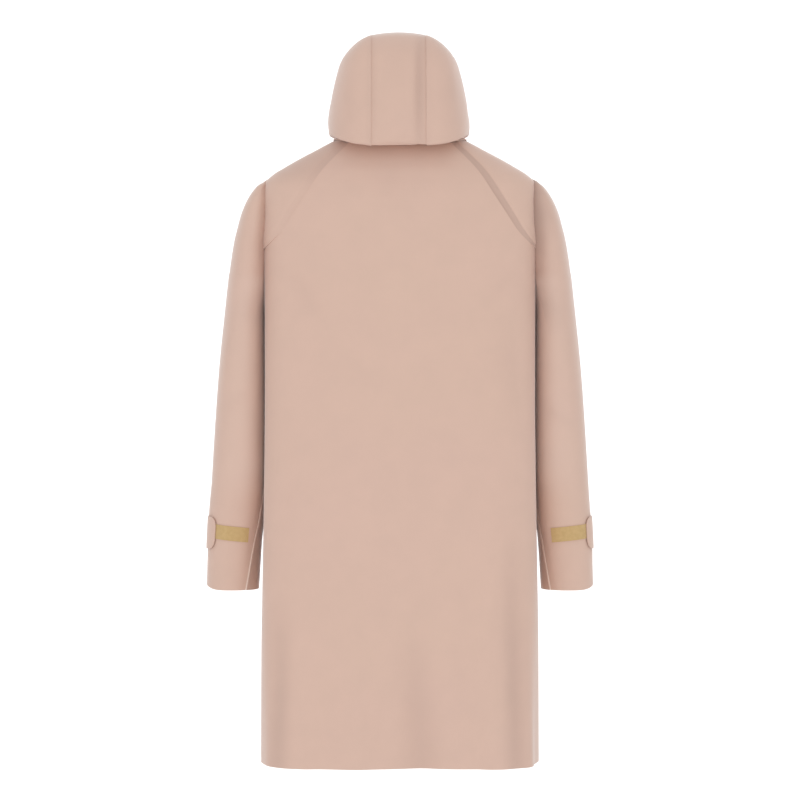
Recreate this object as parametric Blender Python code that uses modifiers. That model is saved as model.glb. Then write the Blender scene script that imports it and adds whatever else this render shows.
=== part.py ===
"""A hooded long coat with raglan sleeves, hollow and filled out as it hangs from the wearer's shoulders.

Metres, +Z up. The coat faces -Y and the wearer's left is at +X. The origin is the middle of the neck
opening, level with the tops of the shoulders. Every piece is one sheet of cloth: a grid of points on one of
three forms, the body, the sleeve or the hood, thickened to the cloth's wall. A form is a stack of rings
whose sizes are in a short table, and a seam is a line on a form that both of its pieces stop at.
"""

import math
from functools import lru_cache

import bmesh
import bpy
import numpy as np
from mathutils import Vector

LEFT, RIGHT = 1, -1
SIDE_NAMES = {LEFT: "left", RIGHT: "right"}

# Cloth and seams.
CLOTH_WALL = 0.0015
SEAM_INSET = 0.00022
PASSING_INSET = 0.0009
LAYER_GAP = 0.0023
ARMPIT_GAP = 0.0024
NUDGE = 0.001

# Levels are heights at the coat's sides. The neckline dips below its level at the back and at the front.
NECK_LEVEL = 0.004
CREASE_LEVEL = -0.193
UNDERARM_LEVEL = -0.230
HEM_LEVEL = -1.080
CUFF_LEVEL = -0.785
NECK_DIP_BACK = 0.014
NECK_DIP_FRONT = 0.079
NECK_DIP_FADES_OVER = 0.250


class Profile:
    """Named columns read against a height, on a smooth curve through the rows that never overshoots them."""

    def __init__(self, columns, rows):
        table = np.array(sorted(rows), float)
        self.columns = columns
        self.heights = table[:, 0]
        self.values = table[:, 1:]
        slope = np.diff(self.values, axis=0) / np.diff(self.heights)[:, None]
        before, after = slope[:-1], slope[1:]
        same_way = before * after > 0
        total = np.where(same_way, before + after, 1.0)
        inner = np.where(same_way, 2 * before * after / total, 0.0)
        self.slopes = np.vstack([slope[:1], inner, slope[-1:]])

    def at(self, height, column):
        k = self.columns.index(column)
        height = min(max(height, self.heights[0]), self.heights[-1])
        i = min(int(np.searchsorted(self.heights, height, side="right")) - 1, len(self.heights) - 2)
        span = self.heights[i + 1] - self.heights[i]
        t = (height - self.heights[i]) / span
        low, high = self.values[i, k], self.values[i + 1, k]
        rise_low, rise_high = self.slopes[i, k] * span, self.slopes[i + 1, k] * span
        bend = 3 * (high - low) - 2 * rise_low - rise_high
        twist = 2 * (low - high) + rise_low + rise_high
        return float(low + t * (rise_low + t * (bend + t * twist)))


# The body's rings. The two roundness columns are superellipse exponents: 2 is an ellipse, more is boxier.
BODY = Profile(
    ("half_width", "back", "front", "back_round", "front_round"),
    [
        # level, half_width, back, front, back_round, front_round
        (0.004, 0.1050, 0.062, 0.066, 2.2, 2.2),
        (-0.005, 0.1235, 0.070, 0.072, 2.2, 2.2),
        (-0.019, 0.1495, 0.078, 0.078, 2.2, 2.2),
        (-0.033, 0.1760, 0.084, 0.084, 2.2, 2.2),
        (-0.047, 0.2002, 0.089, 0.089, 2.3, 2.2),
        (-0.061, 0.2222, 0.092, 0.094, 2.5, 2.3),
        (-0.075, 0.2350, 0.095, 0.098, 2.7, 2.4),
        (-0.100, 0.2378, 0.099, 0.104, 3.0, 2.5),
        (-0.150, 0.2378, 0.103, 0.112, 3.3, 2.7),
        (-0.200, 0.2370, 0.105, 0.116, 3.4, 2.8),
        (-0.300, 0.2352, 0.106, 0.120, 3.4, 2.8),
        (-0.450, 0.2348, 0.107, 0.121, 3.4, 2.8),
        (-0.650, 0.2368, 0.111, 0.122, 3.5, 2.8),
        (-0.760, 0.2385, 0.113, 0.123, 3.7, 2.8),
        (-0.880, 0.2402, 0.116, 0.125, 4.4, 2.9),
        (-1.080, 0.2408, 0.121, 0.129, 6.0, 3.0),
    ],
)

# The largest soft folds of the skirt. A turn is 0 at the centre back, 1 at the wearer's left side seam, -1 at
# the right one and 2 at the centre front. Each fold grows from its top level to its full depth at the hem.
FOLDS = (
    # turn, half_width, out_at_hem, top_level
    (-0.78, 0.15, -0.009, -0.70),
    (-0.53, 0.14, 0.006, -0.74),
    (-0.10, 0.20, -0.007, -0.80),
    (0.24, 0.18, 0.005, -0.76),
    (0.75, 0.16, -0.008, -0.72),
    (-1.42, 0.18, 0.007, -0.66),
    (-1.72, 0.14, -0.006, -0.78),
    (1.28, 0.16, 0.006, -0.74),
    (1.60, 0.18, -0.007, -0.70),
)

# The sleeve's rings: half-depth is front to back, and the valley angle is where the ring leaves the body,
# measured round the ring from its inner side.
SLEEVE = Profile(
    ("outer_x", "centre_y", "half_depth", "valley_deg"),
    [
        # level, outer_x, centre_y, half_depth, valley_deg
        (0.004, 0.1050, -0.002, 0.010, 60),
        (-0.033, 0.1785, -0.004, 0.012, 60),
        (-0.061, 0.2240, -0.007, 0.014, 56),
        (-0.070, 0.2378, -0.010, 0.022, 51),
        (-0.080, 0.2500, -0.012, 0.044, 47),
        (-0.100, 0.2650, -0.014, 0.060, 51),
        (-0.125, 0.2765, -0.016, 0.070, 48),
        (-0.152, 0.2845, -0.018, 0.078, 46),
        (-0.178, 0.2910, -0.020, 0.083, 43),
        (-0.230, 0.2990, -0.022, 0.086, 40),
        (-0.300, 0.3070, -0.024, 0.081, 30),
        (-0.400, 0.3175, -0.027, 0.073, 20),
        (-0.500, 0.3250, -0.030, 0.066, 20),
        (-0.600, 0.3313, -0.032, 0.060, 20),
        (-0.700, 0.3375, -0.033, 0.0545, 20),
        (-0.785, 0.3400, -0.034, 0.0510, 20),
    ],
)
SLEEVE_ROUND = 2.2
# Below the underarm the sleeve is a closed ring, and its seam turns towards the back on the way to the cuff.
SLEEVE_INSIDE = Profile(
    ("inner_x", "seam_deg"),
    [
        # level, inner_x, seam_deg
        (-0.230, 0.2300, 5),
        (-0.300, 0.2374, 4),
        (-0.400, 0.2371, 3),
        (-0.500, 0.2374, 3),
        (-0.605, 0.2386, 6),
        (-0.660, 0.2402, 18),
        (-0.700, 0.2440, 30),
        (-0.785, 0.2495, 50),
    ],
)
SLEEVE_PARTS_FROM = -0.063
SLEEVE_PARTED_BY = -0.080
ARMPIT_GAP_FROM = -0.125
ARMPIT_GAP_BY = -0.187
TUBE_IS_EVEN_BY = -0.36
INNER_SHARE = 0.18
UNDERARM_Y = -0.0127
CUFF_RISE = 0.008
CUFF_RISE_FROM = -0.72
CUFF_RISE_POWER = 4

# The raglan seams. Each starts this far across the neckline, and the table has its share of the way from
# there to the crease beside the arm.
BACK_SEAM_NECK_X = 0.083
FRONT_SEAM_NECK_X = 0.070
RAGLAN = Profile(
    ("at_back", "at_front"),
    [
        # level, at_back, at_front
        (0.004, 0.00, 0.00),
        (-0.053, 0.35, 0.31),
        (-0.097, 0.53, 0.54),
        (-0.127, 0.65, 0.68),
        (-0.161, 0.79, 0.84),
        (-0.193, 1.00, 1.00),
    ],
)

# The hood's rings, from the fold at its foot to the seam over the crown. Back is where the centre strip lies,
# and the opening angle is where the ring ends at the face.
HOOD = Profile(
    ("half_width", "back", "front_reach", "opening_deg", "front_drop", "back_drop"),
    [
        # level, half_width, back, front_reach, opening_deg, front_drop, back_drop
        (0.0095, 0.1212, 0.112, 0.074, 80.0, 0.0775, 0.0275),
        (0.0300, 0.1217, 0.115, 0.097, 66.8, 0.0680, 0.022),
        (0.0550, 0.1197, 0.116, 0.127, 53.5, 0.0580, 0.017),
        (0.0850, 0.1147, 0.114, 0.162, 41.0, 0.0500, 0.010),
        (0.1200, 0.1063, 0.107, 0.177, 36.3, 0.0400, 0.004),
        (0.1350, 0.1012, 0.102, 0.178, 35.2, 0.0340, 0.002),
        (0.1480, 0.0932, 0.094, 0.178, 34.3, 0.0280, 0.000),
        (0.1600, 0.0826, 0.083, 0.177, 33.6, 0.0230, 0.000),
        (0.1690, 0.0715, 0.071, 0.177, 32.6, 0.0190, 0.000),
        (0.1740, 0.0620, 0.060, 0.184, 30.4, 0.0165, 0.000),
        (0.1775, 0.0530, 0.047, 0.205, 26.0, 0.0145, 0.000),
        (0.1795, 0.0470, 0.035, 0.235, 22.0, 0.0135, 0.000),
    ],
)
HOOD_TOP = 0.1795
HOOD_FOOT = 0.0095
HOOD_MIDDLE_Y = -0.005
HOOD_MIDDLE_Z = 0.070
HOOD_FRONT_ROUND = 2.3
HOOD_BACK_ROUND = 2.3
HOOD_DROP_POWER = 3.0
HOOD_EDGE_X = 0.022
STRIP_HALF = 0.047
STRIP_CROWN = 0.0047
ROLL_RADIUS = 0.0025
LIP_ARCH = 0.004
LIP_LIFT = 0.0028

# The fronts overlap left over right.
OVERLAP_HALF = 0.030
COVER_FLAT_TO = 0.035
COVER_ENDS_AT = 0.100
UNDER_EDGE_FLAT_TO = 0.033
UNDER_EDGE_FADES_OVER = 0.020
FRONT_FIRST_COLUMN = 0.022

# The strap round the outside of each cuff, and the loop tape beneath its end.
TAB_END_DEG = {LEFT: 122, RIGHT: 134}
TAB_ROOT_DEG = 286
TAB_MIDDLE_Z = -0.685
TAB_HALF_HEIGHT = 0.028
TAB_CORNER = 0.016
TAB_OUT_END = 0.0036
TAB_OUT_ROOT = 0.0021
TAB_LIES_CLOSE_BY_DEG = 178
SLEEVE_GIRTH_AT_TAB = 0.318
TAPE_END_DEG = 60
TAPE_ROOT_DEG = 160
TAPE_HALF_HEIGHT = 0.0125
TAPE_END_Z = -0.6885
TAPE_ROOT_Z = -0.6795
TAPE_WALL = 0.0012
TAPE_OUT = 0.0017

# The grids' rows and columns.
UPPER_LEVELS = (
    0.004,
    -0.009,
    -0.022,
    -0.035,
    -0.048,
    -0.061,
    -0.070,
    -0.080,
    -0.100,
    -0.125,
    -0.150,
    -0.173,
    CREASE_LEVEL,
    -0.206,
    -0.218,
    UNDERARM_LEVEL,
)
SKIRT_LEVELS = (
    -0.31,
    -0.40,
    -0.49,
    -0.58,
    -0.66,
    -0.73,
    -0.79,
    -0.85,
    -0.90,
    -0.95,
    -1.00,
    -1.045,
    HEM_LEVEL,
)
TUBE_LEVELS = (
    -0.26,
    -0.30,
    -0.34,
    -0.39,
    -0.44,
    -0.49,
    -0.54,
    -0.59,
    -0.625,
    -0.655,
    -0.685,
    -0.715,
    -0.75,
    CUFF_LEVEL,
)
HOOD_LEVELS = (0.030, 0.050, 0.072, 0.095, 0.118, 0.136, 0.150, 0.161, 0.169, 0.174, 0.1775, HOOD_TOP)
BACK_SHARES = (0, 0.16, 0.31, 0.45, 0.56, 0.66, 0.75, 0.83, 0.91, 1)
FRONT_SHARES = (0, 0.12, 0.24, 0.36, 0.48, 0.59, 0.69, 0.79, 0.89, 1)
INNER_COLUMNS = 6
OUTER_COLUMNS = 12
HOOD_SIDE_COLUMNS = 14
STRIP_COLUMNS = 5
ROLL_STEPS = 2
LIP_STEPS = 2
TAB_ROWS = 4
CORNER_STEPS = 3
CURVE_STEPS = 90


def ease(t):
    """0 to 1 along a smooth step."""
    t = min(max(t, 0.0), 1.0)
    return t * t * (3 - 2 * t)


def mix(a, b, t):
    return a + (b - a) * t


def signed_power(value, power):
    return math.copysign(abs(value) ** power, value)


# The body.


@lru_cache(maxsize=None)
def body_ring(level):
    """Half a ring, from the centre front round the side to the back: x, y and the distance from the side."""
    half, back, front = (BODY.at(level, name) for name in ("half_width", "back", "front"))
    t = np.linspace(0, math.pi / 2, CURVE_STEPS)
    back_power = 2 / BODY.at(level, "back_round")
    front_power = 2 / BODY.at(level, "front_round")
    back_x, back_y = half * np.cos(t) ** back_power, back * np.sin(t) ** back_power
    front_x, front_y = half * np.cos(t) ** front_power, -front * np.sin(t) ** front_power
    x = np.concatenate([front_x[::-1], back_x[1:]])
    y = np.concatenate([front_y[::-1], back_y[1:]])
    x[0] = x[-1] = 0.0
    along = np.concatenate([[0], np.cumsum(np.hypot(np.diff(x), np.diff(y)))])
    return x, y, along - along[CURVE_STEPS - 1]


def ring_x_at_y(level, y):
    x, ys, _ = body_ring(level)
    return float(np.interp(y, ys, x))


def ring_s_at_y(level, y):
    _, ys, along = body_ring(level)
    return float(np.interp(y, ys, along))


def ring_s_at_x(level, x, at_back):
    """The distance along the ring of the point this far across the coat, on its back or its front."""
    xs, _, along = body_ring(level)
    if at_back:
        return float(np.interp(-x, -xs[CURVE_STEPS - 1 :], along[CURVE_STEPS - 1 :]))
    return float(np.interp(x, xs[:CURVE_STEPS], along[:CURVE_STEPS]))


def neck_dip(level, y):
    """How far a point of the body lies below its level: the neckline dips at the back and at the front."""
    depth = BODY.at(level, "back" if y > 0 else "front")
    dip = NECK_DIP_BACK if y > 0 else NECK_DIP_FRONT
    fade = 1 - ease((NECK_LEVEL - level) / NECK_DIP_FADES_OVER)
    return dip * fade * min(abs(y) / depth, 1.0) ** 2


def fold_out(level, turn):
    """How far the skirt's folds stand out at a level and a turn round the body."""
    out = 0.0
    for middle, half_width, out_at_hem, top_level in FOLDS:
        across = (turn - middle) / half_width
        if abs(across) < 1:
            grown = ease((top_level - level) / (top_level - HEM_LEVEL))
            out += out_at_hem * grown * math.cos(across * math.pi / 2) ** 2
    return out


def body_surface(side, level, s):
    """A point of the body form. s is the distance round from the side line, towards the back if positive."""
    x, y, along = body_ring(level)
    if s > along[-1]:
        s, side = 2 * along[-1] - s, -side
    elif s < along[0]:
        s, side = 2 * along[0] - s, -side
    here = np.array([np.interp(s, along, x), np.interp(s, along, y)])
    step = np.array([np.interp(s + NUDGE, along, x), np.interp(s + NUDGE, along, y)])
    step -= [np.interp(s - NUDGE, along, x), np.interp(s - NUDGE, along, y)]
    outward = np.array([step[1], -step[0]]) / max(np.hypot(*step), 1e-9)
    turn = 1 - s / along[-1] if s > 0 else 1 + s / along[0]
    here = here + outward * fold_out(level, side * turn)
    return Vector((side * here[0], here[1], level - neck_dip(level, here[1])))


def body_point(side, level, s, out=0.0):
    """A point of the body form, moved out of it along its normal."""
    here = body_surface(side, level, s)
    if not out:
        return here
    high, low = min(level + NUDGE, NECK_LEVEL), max(level - NUDGE, HEM_LEVEL)
    up = body_surface(side, high, s) - body_surface(side, low, s)
    round_it = body_surface(side, level, s + NUDGE) - body_surface(side, level, s - NUDGE)
    normal = round_it.cross(up).normalized() * side
    return here + normal * out


def valley_y(level, at_back):
    """Where the sleeve leaves the body at a level, front to back."""
    rise = math.sin(math.radians(SLEEVE.at(level, "valley_deg"))) ** (2 / SLEEVE_ROUND)
    reach = SLEEVE.at(level, "half_depth") * rise
    return SLEEVE.at(level, "centre_y") + (reach if at_back else -reach)


def raglan_s(level, at_back):
    """The raglan seam's place on a ring: down the back or front to the crease, then round to the underarm."""
    crease_y = valley_y(CREASE_LEVEL, at_back)
    if level >= CREASE_LEVEL:
        neck_x = BACK_SEAM_NECK_X if at_back else FRONT_SEAM_NECK_X
        share = RAGLAN.at(level, "at_back" if at_back else "at_front")
        if share > 0.999:
            return ring_s_at_y(CREASE_LEVEL, crease_y)
        return ring_s_at_x(level, mix(neck_x, ring_x_at_y(CREASE_LEVEL, crease_y), share), at_back)
    down = (CREASE_LEVEL - level) / (CREASE_LEVEL - UNDERARM_LEVEL)
    return mix(ring_s_at_y(level, crease_y), ring_s_at_y(level, UNDERARM_Y), min(down, 1.0))


def seam_s(level, at_back):
    """The edge of the back or a front at a level: the raglan seam, and below the underarm the side seam."""
    if level >= UNDERARM_LEVEL:
        return raglan_s(level, at_back)
    return ring_s_at_y(level, UNDERARM_Y)


# The sleeve.


def oval_inner_x(level, at_back):
    """The x of the sleeve ring's inner side. Down to the underarm it meets the body at the valley."""
    joined = max(level, UNDERARM_LEVEL)
    outer_x = SLEEVE.at(joined, "outer_x")
    reach = math.cos(math.radians(SLEEVE.at(joined, "valley_deg"))) ** (2 / SLEEVE_ROUND)
    valley_x = ring_x_at_y(joined, valley_y(joined, at_back)) + sleeve_gap(joined)
    inner_x = outer_x - 2 * (outer_x - valley_x) / (1 + reach)
    if level >= UNDERARM_LEVEL:
        return inner_x
    freed = ease((UNDERARM_LEVEL - level) / 0.07)
    return mix(inner_x, SLEEVE_INSIDE.at(level, "inner_x"), freed)


def sleeve_gap(level):
    """How far the sleeve lies outside the body's side where the two are back to back."""
    return ARMPIT_GAP * ease((ARMPIT_GAP_FROM - level) / (ARMPIT_GAP_FROM - ARMPIT_GAP_BY))


def sleeve_oval(level, angle):
    """The sleeve's ring at an angle from its inner side, by way of its back: x and y."""
    outer_x = SLEEVE.at(level, "outer_x")
    inner_x = oval_inner_x(level, math.sin(angle) >= 0)
    x = (outer_x + inner_x) / 2 - (outer_x - inner_x) / 2 * signed_power(math.cos(angle), 2 / SLEEVE_ROUND)
    y = SLEEVE.at(level, "centre_y") + SLEEVE.at(level, "half_depth") * signed_power(
        math.sin(angle), 2 / SLEEVE_ROUND
    )
    if level < UNDERARM_LEVEL:
        closeness = ease((level - TUBE_IS_EVEN_BY) / (UNDERARM_LEVEL - TUBE_IS_EVEN_BY))
        x = max(x, ring_x_at_y(level, y) + ARMPIT_GAP * closeness)
    return x, y


def column_angle(level, v):
    """The angle of a column of the closed sleeve, from v = 0 at the seam's back edge to 1 at its front edge."""
    seam = math.radians(SLEEVE_INSIDE.at(level, "seam_deg"))
    valley = math.radians(SLEEVE.at(level, "valley_deg"))
    stops = (0, INNER_SHARE, 1 - INNER_SHARE, 1)
    parted = float(np.interp(v, stops, (seam, valley, 2 * math.pi - valley, 2 * math.pi + seam)))
    evened = ease((UNDERARM_LEVEL - level) / (UNDERARM_LEVEL - TUBE_IS_EVEN_BY))
    return mix(parted, seam + 2 * math.pi * v, evened)


def sleeve_lift(level, angle):
    """The cuff's lower edge rises towards its outer side."""
    lowered = ease((CUFF_RISE_FROM - level) / (CUFF_RISE_FROM - CUFF_LEVEL))
    return CUFF_RISE * lowered * max(-math.cos(angle), 0.0) ** CUFF_RISE_POWER


def tube_surface(side, level, angle):
    x, y = sleeve_oval(level, angle)
    return Vector((side * x, y, level + sleeve_lift(level, angle)))


def ring_place(level, s, out):
    """A point of the body's ring, moved straight out of it: x and y."""
    x, y, along = body_ring(level)
    step_x = np.interp(s + NUDGE, along, x) - np.interp(s - NUDGE, along, x)
    step_y = np.interp(s + NUDGE, along, y) - np.interp(s - NUDGE, along, y)
    outward = np.array([step_y, -step_x]) / math.hypot(step_x, step_y)
    return np.array([np.interp(s, along, x), np.interp(s, along, y)]) + outward * out


def sleeve_point(side, level, v):
    """A point of the sleeve: v goes from 0 at its back edge, round the outer side, to 1 at its front edge."""
    if level < UNDERARM_LEVEL:
        return tube_surface(side, level, column_angle(level, v))
    gap = sleeve_gap(level)
    back_valley, front_valley = (ring_s_at_y(level, valley_y(level, at_back)) for at_back in (True, False))
    if v <= INNER_SHARE:
        place = ring_place(level, mix(raglan_s(level, True), back_valley, v / INNER_SHARE), gap)
    elif v >= 1 - INNER_SHARE:
        place = ring_place(level, mix(raglan_s(level, False), front_valley, (1 - v) / INNER_SHARE), gap)
    else:
        share = (v - INNER_SHARE) / (1 - 2 * INNER_SHARE)
        valley = math.radians(SLEEVE.at(level, "valley_deg"))
        over_body = ring_place(level, mix(back_valley, front_valley, share), 0.0)
        at_back = ring_place(level, back_valley, gap) - sleeve_oval(level, valley)
        at_front = ring_place(level, front_valley, gap) - sleeve_oval(level, 2 * math.pi - valley)
        tube = sleeve_oval(level, mix(valley, 2 * math.pi - valley, share)) + mix(at_back, at_front, share)
        parted = ease((SLEEVE_PARTS_FROM - level) / (SLEEVE_PARTS_FROM - SLEEVE_PARTED_BY))
        place = mix(over_body, tube, parted)
    return Vector((side * place[0], place[1], level - neck_dip(level, place[1])))


# The hood.


def even(points, count):
    """The same curve as count + 1 points at equal distances along it."""
    points = np.array(points, float)
    along = np.concatenate([[0], np.cumsum(np.linalg.norm(np.diff(points, axis=0), axis=1))])
    at = np.linspace(0, along[-1], count + 1)
    return [Vector([np.interp(a, along, points[:, k]) for k in range(3)]) for a in at]


def hood_curve(side, level):
    """One ring of a hood side, from its seam with the centre strip round the side to the face edge."""
    half, back, reach = (HOOD.at(level, name) for name in ("half_width", "back", "front_reach"))
    opening = math.radians(HOOD.at(level, "opening_deg"))
    curve = []
    for t in np.linspace(math.pi / 2, 0, CURVE_STEPS):
        across = max(math.cos(t), 0.0) ** (2 / HOOD_BACK_ROUND)
        deep = math.sin(t) ** (2 / HOOD_BACK_ROUND)
        y = HOOD_MIDDLE_Y + (back - HOOD_MIDDLE_Y) * deep
        z = level - HOOD.at(level, "back_drop") * deep**2
        curve.append((side * (STRIP_HALF + (half - STRIP_HALF) * across), y, z))
    edge_deep = math.sin(opening) ** (2 / HOOD_FRONT_ROUND)
    for t in np.linspace(0, opening, CURVE_STEPS)[1:]:
        deep = math.sin(t) ** (2 / HOOD_FRONT_ROUND)
        x = half * math.cos(t) ** (2 / HOOD_FRONT_ROUND)
        z = level - HOOD.at(level, "front_drop") * (deep / edge_deep) ** HOOD_DROP_POWER
        curve.append((side * x, HOOD_MIDDLE_Y - reach * deep, z))
    return curve


def neck_edge(side, share):
    """Where the hood is sewn on, share going from 0 at the centre strip's seam to 1 at the face edge."""
    from_s = ring_s_at_x(NECK_LEVEL, STRIP_HALF, True)
    to_s = ring_s_at_x(NECK_LEVEL, HOOD_EDGE_X, False)
    s = mix(from_s, to_s, share)
    return body_point(side, NECK_LEVEL, s, LIP_LIFT + front_cover(side, centre_front_distance(NECK_LEVEL, s)))


def fold_and_lip(foot, edge):
    """The hood's foot along one column: from its wall down round the fold and inward to the neck seam."""
    inward = Vector((edge.x - foot.x, edge.y - foot.y, 0)).normalized()
    points = []
    for k in range(ROLL_STEPS + 1):
        turn = math.pi / 2 * k / ROLL_STEPS
        down = Vector((0, 0, ROLL_RADIUS * (1 - math.sin(turn))))
        points.append(foot + down + inward * ROLL_RADIUS * (1 - math.cos(turn)))
    start = points[-1]
    for k in range(1, LIP_STEPS + 1):
        arch = Vector((0, 0, LIP_ARCH * math.sin(math.pi * k / LIP_STEPS)))
        points.append(start.lerp(edge, k / LIP_STEPS) + arch)
    return points


def hood_side_rows(side):
    """The rows of a hood side, from the neck seam up to the seam over the crown."""
    foot = even(hood_curve(side, HOOD_FOOT), HOOD_SIDE_COLUMNS)
    columns = [fold_and_lip(p, neck_edge(side, j / HOOD_SIDE_COLUMNS)) for j, p in enumerate(foot)]
    rows = [list(row) for row in zip(*columns)][::-1]
    return rows + [even(hood_curve(side, level), HOOD_SIDE_COLUMNS) for level in HOOD_LEVELS]


# Pieces.


def front_cover(side, distance):
    """How far the outermost front lies out of the body form, this far from the centre front."""
    if side == LEFT:
        return LAYER_GAP * (1 - ease((distance - COVER_FLAT_TO) / (COVER_ENDS_AT - COVER_FLAT_TO)))
    return LAYER_GAP * (1 - ease((distance - UNDER_EDGE_FLAT_TO) / UNDER_EDGE_FADES_OVER))


def centre_front_distance(level, s):
    return s - body_ring(level)[2][0]


def trimmed(row, inset=SEAM_INSET):
    """A row whose two ends are drawn in a little, which leaves the gap at a seam."""
    row = list(row)
    for end, beside in ((0, 1), (-1, -2)):
        span = row[beside] - row[end]
        if span.length > 2 * inset:
            row[end] = row[end] + span.normalized() * inset
    return row


def body_inset(level):
    """How far the body's edges are drawn in: more where the sleeve's edge passes from beside to outside them."""
    return PASSING_INSET if CREASE_LEVEL <= level < ARMPIT_GAP_FROM else SEAM_INSET


def back_rows():
    rows = []
    for level in UPPER_LEVELS + SKIRT_LEVELS:
        middle, edge = body_ring(level)[2][-1], seam_s(level, True)
        places = [(RIGHT, mix(middle, edge, share)) for share in BACK_SHARES[:0:-1]]
        places += [(LEFT, mix(middle, edge, share)) for share in BACK_SHARES]
        rows.append(trimmed((body_point(side, level, s) for side, s in places), body_inset(level)))
    return rows


def front_rows(side):
    """The rows of a front, from its overlapped edge at the centre to the raglan or side seam."""
    rows = []
    for level in UPPER_LEVELS + SKIRT_LEVELS:
        centre, edge = body_ring(level)[2][0], seam_s(level, False)
        first = centre + FRONT_FIRST_COLUMN
        places = [centre - OVERLAP_HALF, centre] + [mix(first, edge, share) for share in FRONT_SHARES]
        row = []
        for s in places:
            cover = front_cover(LEFT, s - centre) if side == LEFT else 0.0
            row.append(body_point(side, level, s, cover))
        rows.append(trimmed(row, body_inset(level)))
    return rows


def sleeve_columns():
    """The sleeve grid's columns, as shares of the way round it."""
    inner = [INNER_SHARE * k / INNER_COLUMNS for k in range(INNER_COLUMNS)]
    outer = [mix(INNER_SHARE, 1 - INNER_SHARE, k / OUTER_COLUMNS) for k in range(OUTER_COLUMNS + 1)]
    return inner + outer + [1 - v for v in reversed(inner)]


def sleeve_rows(side):
    columns = sleeve_columns()
    return [trimmed(sleeve_point(side, level, v) for v in columns) for level in UPPER_LEVELS + TUBE_LEVELS]


def hood_strip_rows():
    """The rows of the centre strip, from the neck seam up the back and over the crown to the face."""
    side_rows = hood_side_rows(LEFT)
    edge = [row[0] for row in side_rows] + side_rows[-1][1:]
    lip_rows = ROLL_STEPS + LIP_STEPS
    rows = []
    for k, place in enumerate(edge):
        half = place.x - 2 * SEAM_INSET
        away = Vector((0, place.y, place.z - HOOD_MIDDLE_Z)).normalized()
        crown = STRIP_CROWN * ease((k - lip_rows + 2) / 2)
        row = []
        for j in range(STRIP_COLUMNS + 1):
            across = 1 - 2 * j / STRIP_COLUMNS
            row.append(Vector((half * across, place.y, place.z)) + away * crown * (1 - across**2))
        rows.append(row)
    return rows


def between(stops, value):
    """The two neighbouring stops that a value lies between, and its share of the way."""
    i = next((k for k, stop in enumerate(stops[1:]) if value <= stop), len(stops) - 2)
    return stops[i], stops[i + 1], (value - stops[i]) / (stops[i + 1] - stops[i])


def on_sleeve(side, level, v, out):
    """A point on the sleeve's own flat facets, moved out of the sleeve."""
    top, bottom, down = between([-z for z in TUBE_LEVELS], -level)
    before, after, across = between(sleeve_columns(), v)
    corners = [sleeve_point(side, -z, w) for z in (top, bottom) for w in (before, after)]
    here = corners[0].lerp(corners[1], across).lerp(corners[2].lerp(corners[3], across), down)
    angle = column_angle(level, v)
    turn = NUDGE / SLEEVE.at(level, "half_depth")
    up = tube_surface(side, level + NUDGE, angle) - tube_surface(side, level - NUDGE, angle)
    round_it = tube_surface(side, level, angle + turn) - tube_surface(side, level, angle - turn)
    return here + up.cross(round_it).normalized() * out * side


def sleeve_share(level, degrees):
    """The share of the way round the sleeve at an angle from its inner side."""
    return (math.radians(degrees) - math.radians(SLEEVE_INSIDE.at(level, "seam_deg"))) / (2 * math.pi)


def strap_columns(start, end, extra=()):
    """A strap's columns: its ends, the sleeve's own columns between them, and any others."""
    return sorted({start, end, *extra, *(v for v in sleeve_columns() if start < v < end)})


def cuff_tab_rows(side):
    """The strap, from its free end at the back of the cuff round the outer side to its root at the front."""
    degrees = (TAB_END_DEG[side], TAPE_ROOT_DEG, TAB_LIES_CLOSE_BY_DEG, TAB_ROOT_DEG)
    start, step, close, end = (sleeve_share(TAB_MIDDLE_Z, angle) for angle in degrees)
    round_end = [1 - math.cos(math.pi / 2 * k / CORNER_STEPS) for k in range(1, CORNER_STEPS + 1)]
    corner = [start + TAB_CORNER * reach / SLEEVE_GIRTH_AT_TAB for reach in round_end]
    rows = []
    for v in strap_columns(start, end, (*corner, step, close)):
        from_corner = max(TAB_CORNER - (v - start) * SLEEVE_GIRTH_AT_TAB, 0.0)
        half = TAB_HALF_HEIGHT - TAB_CORNER + math.sqrt(TAB_CORNER**2 - from_corner**2)
        out = mix(TAB_OUT_END, TAB_OUT_ROOT, ease((v - step) / (close - step)))
        heights = [mix(half, -half, k / TAB_ROWS) for k in range(TAB_ROWS + 1)]
        rows.append([on_sleeve(side, TAB_MIDDLE_Z + h, v, out) for h in heights])
    return rows


def cuff_tape_rows(side):
    start, end = (sleeve_share(TAB_MIDDLE_Z, degrees) for degrees in (TAPE_END_DEG, TAPE_ROOT_DEG))
    rows = []
    for v in strap_columns(start, end):
        middle = mix(TAPE_END_Z, TAPE_ROOT_Z, (v - start) / (end - start))
        heights = (TAPE_HALF_HEIGHT, 0, -TAPE_HALF_HEIGHT)
        rows.append([on_sleeve(side, middle + h, v, TAPE_OUT) for h in heights])
    return rows


# Objects.


def make_material(name, colour, roughness):
    material = bpy.data.materials.new(name)
    material.use_nodes = True
    shader = material.node_tree.nodes["Principled BSDF"]
    shader.inputs["Base Color"].default_value = (*colour, 1)
    shader.inputs["Roughness"].default_value = roughness
    shader.inputs["Metallic"].default_value = 0
    return material


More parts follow.
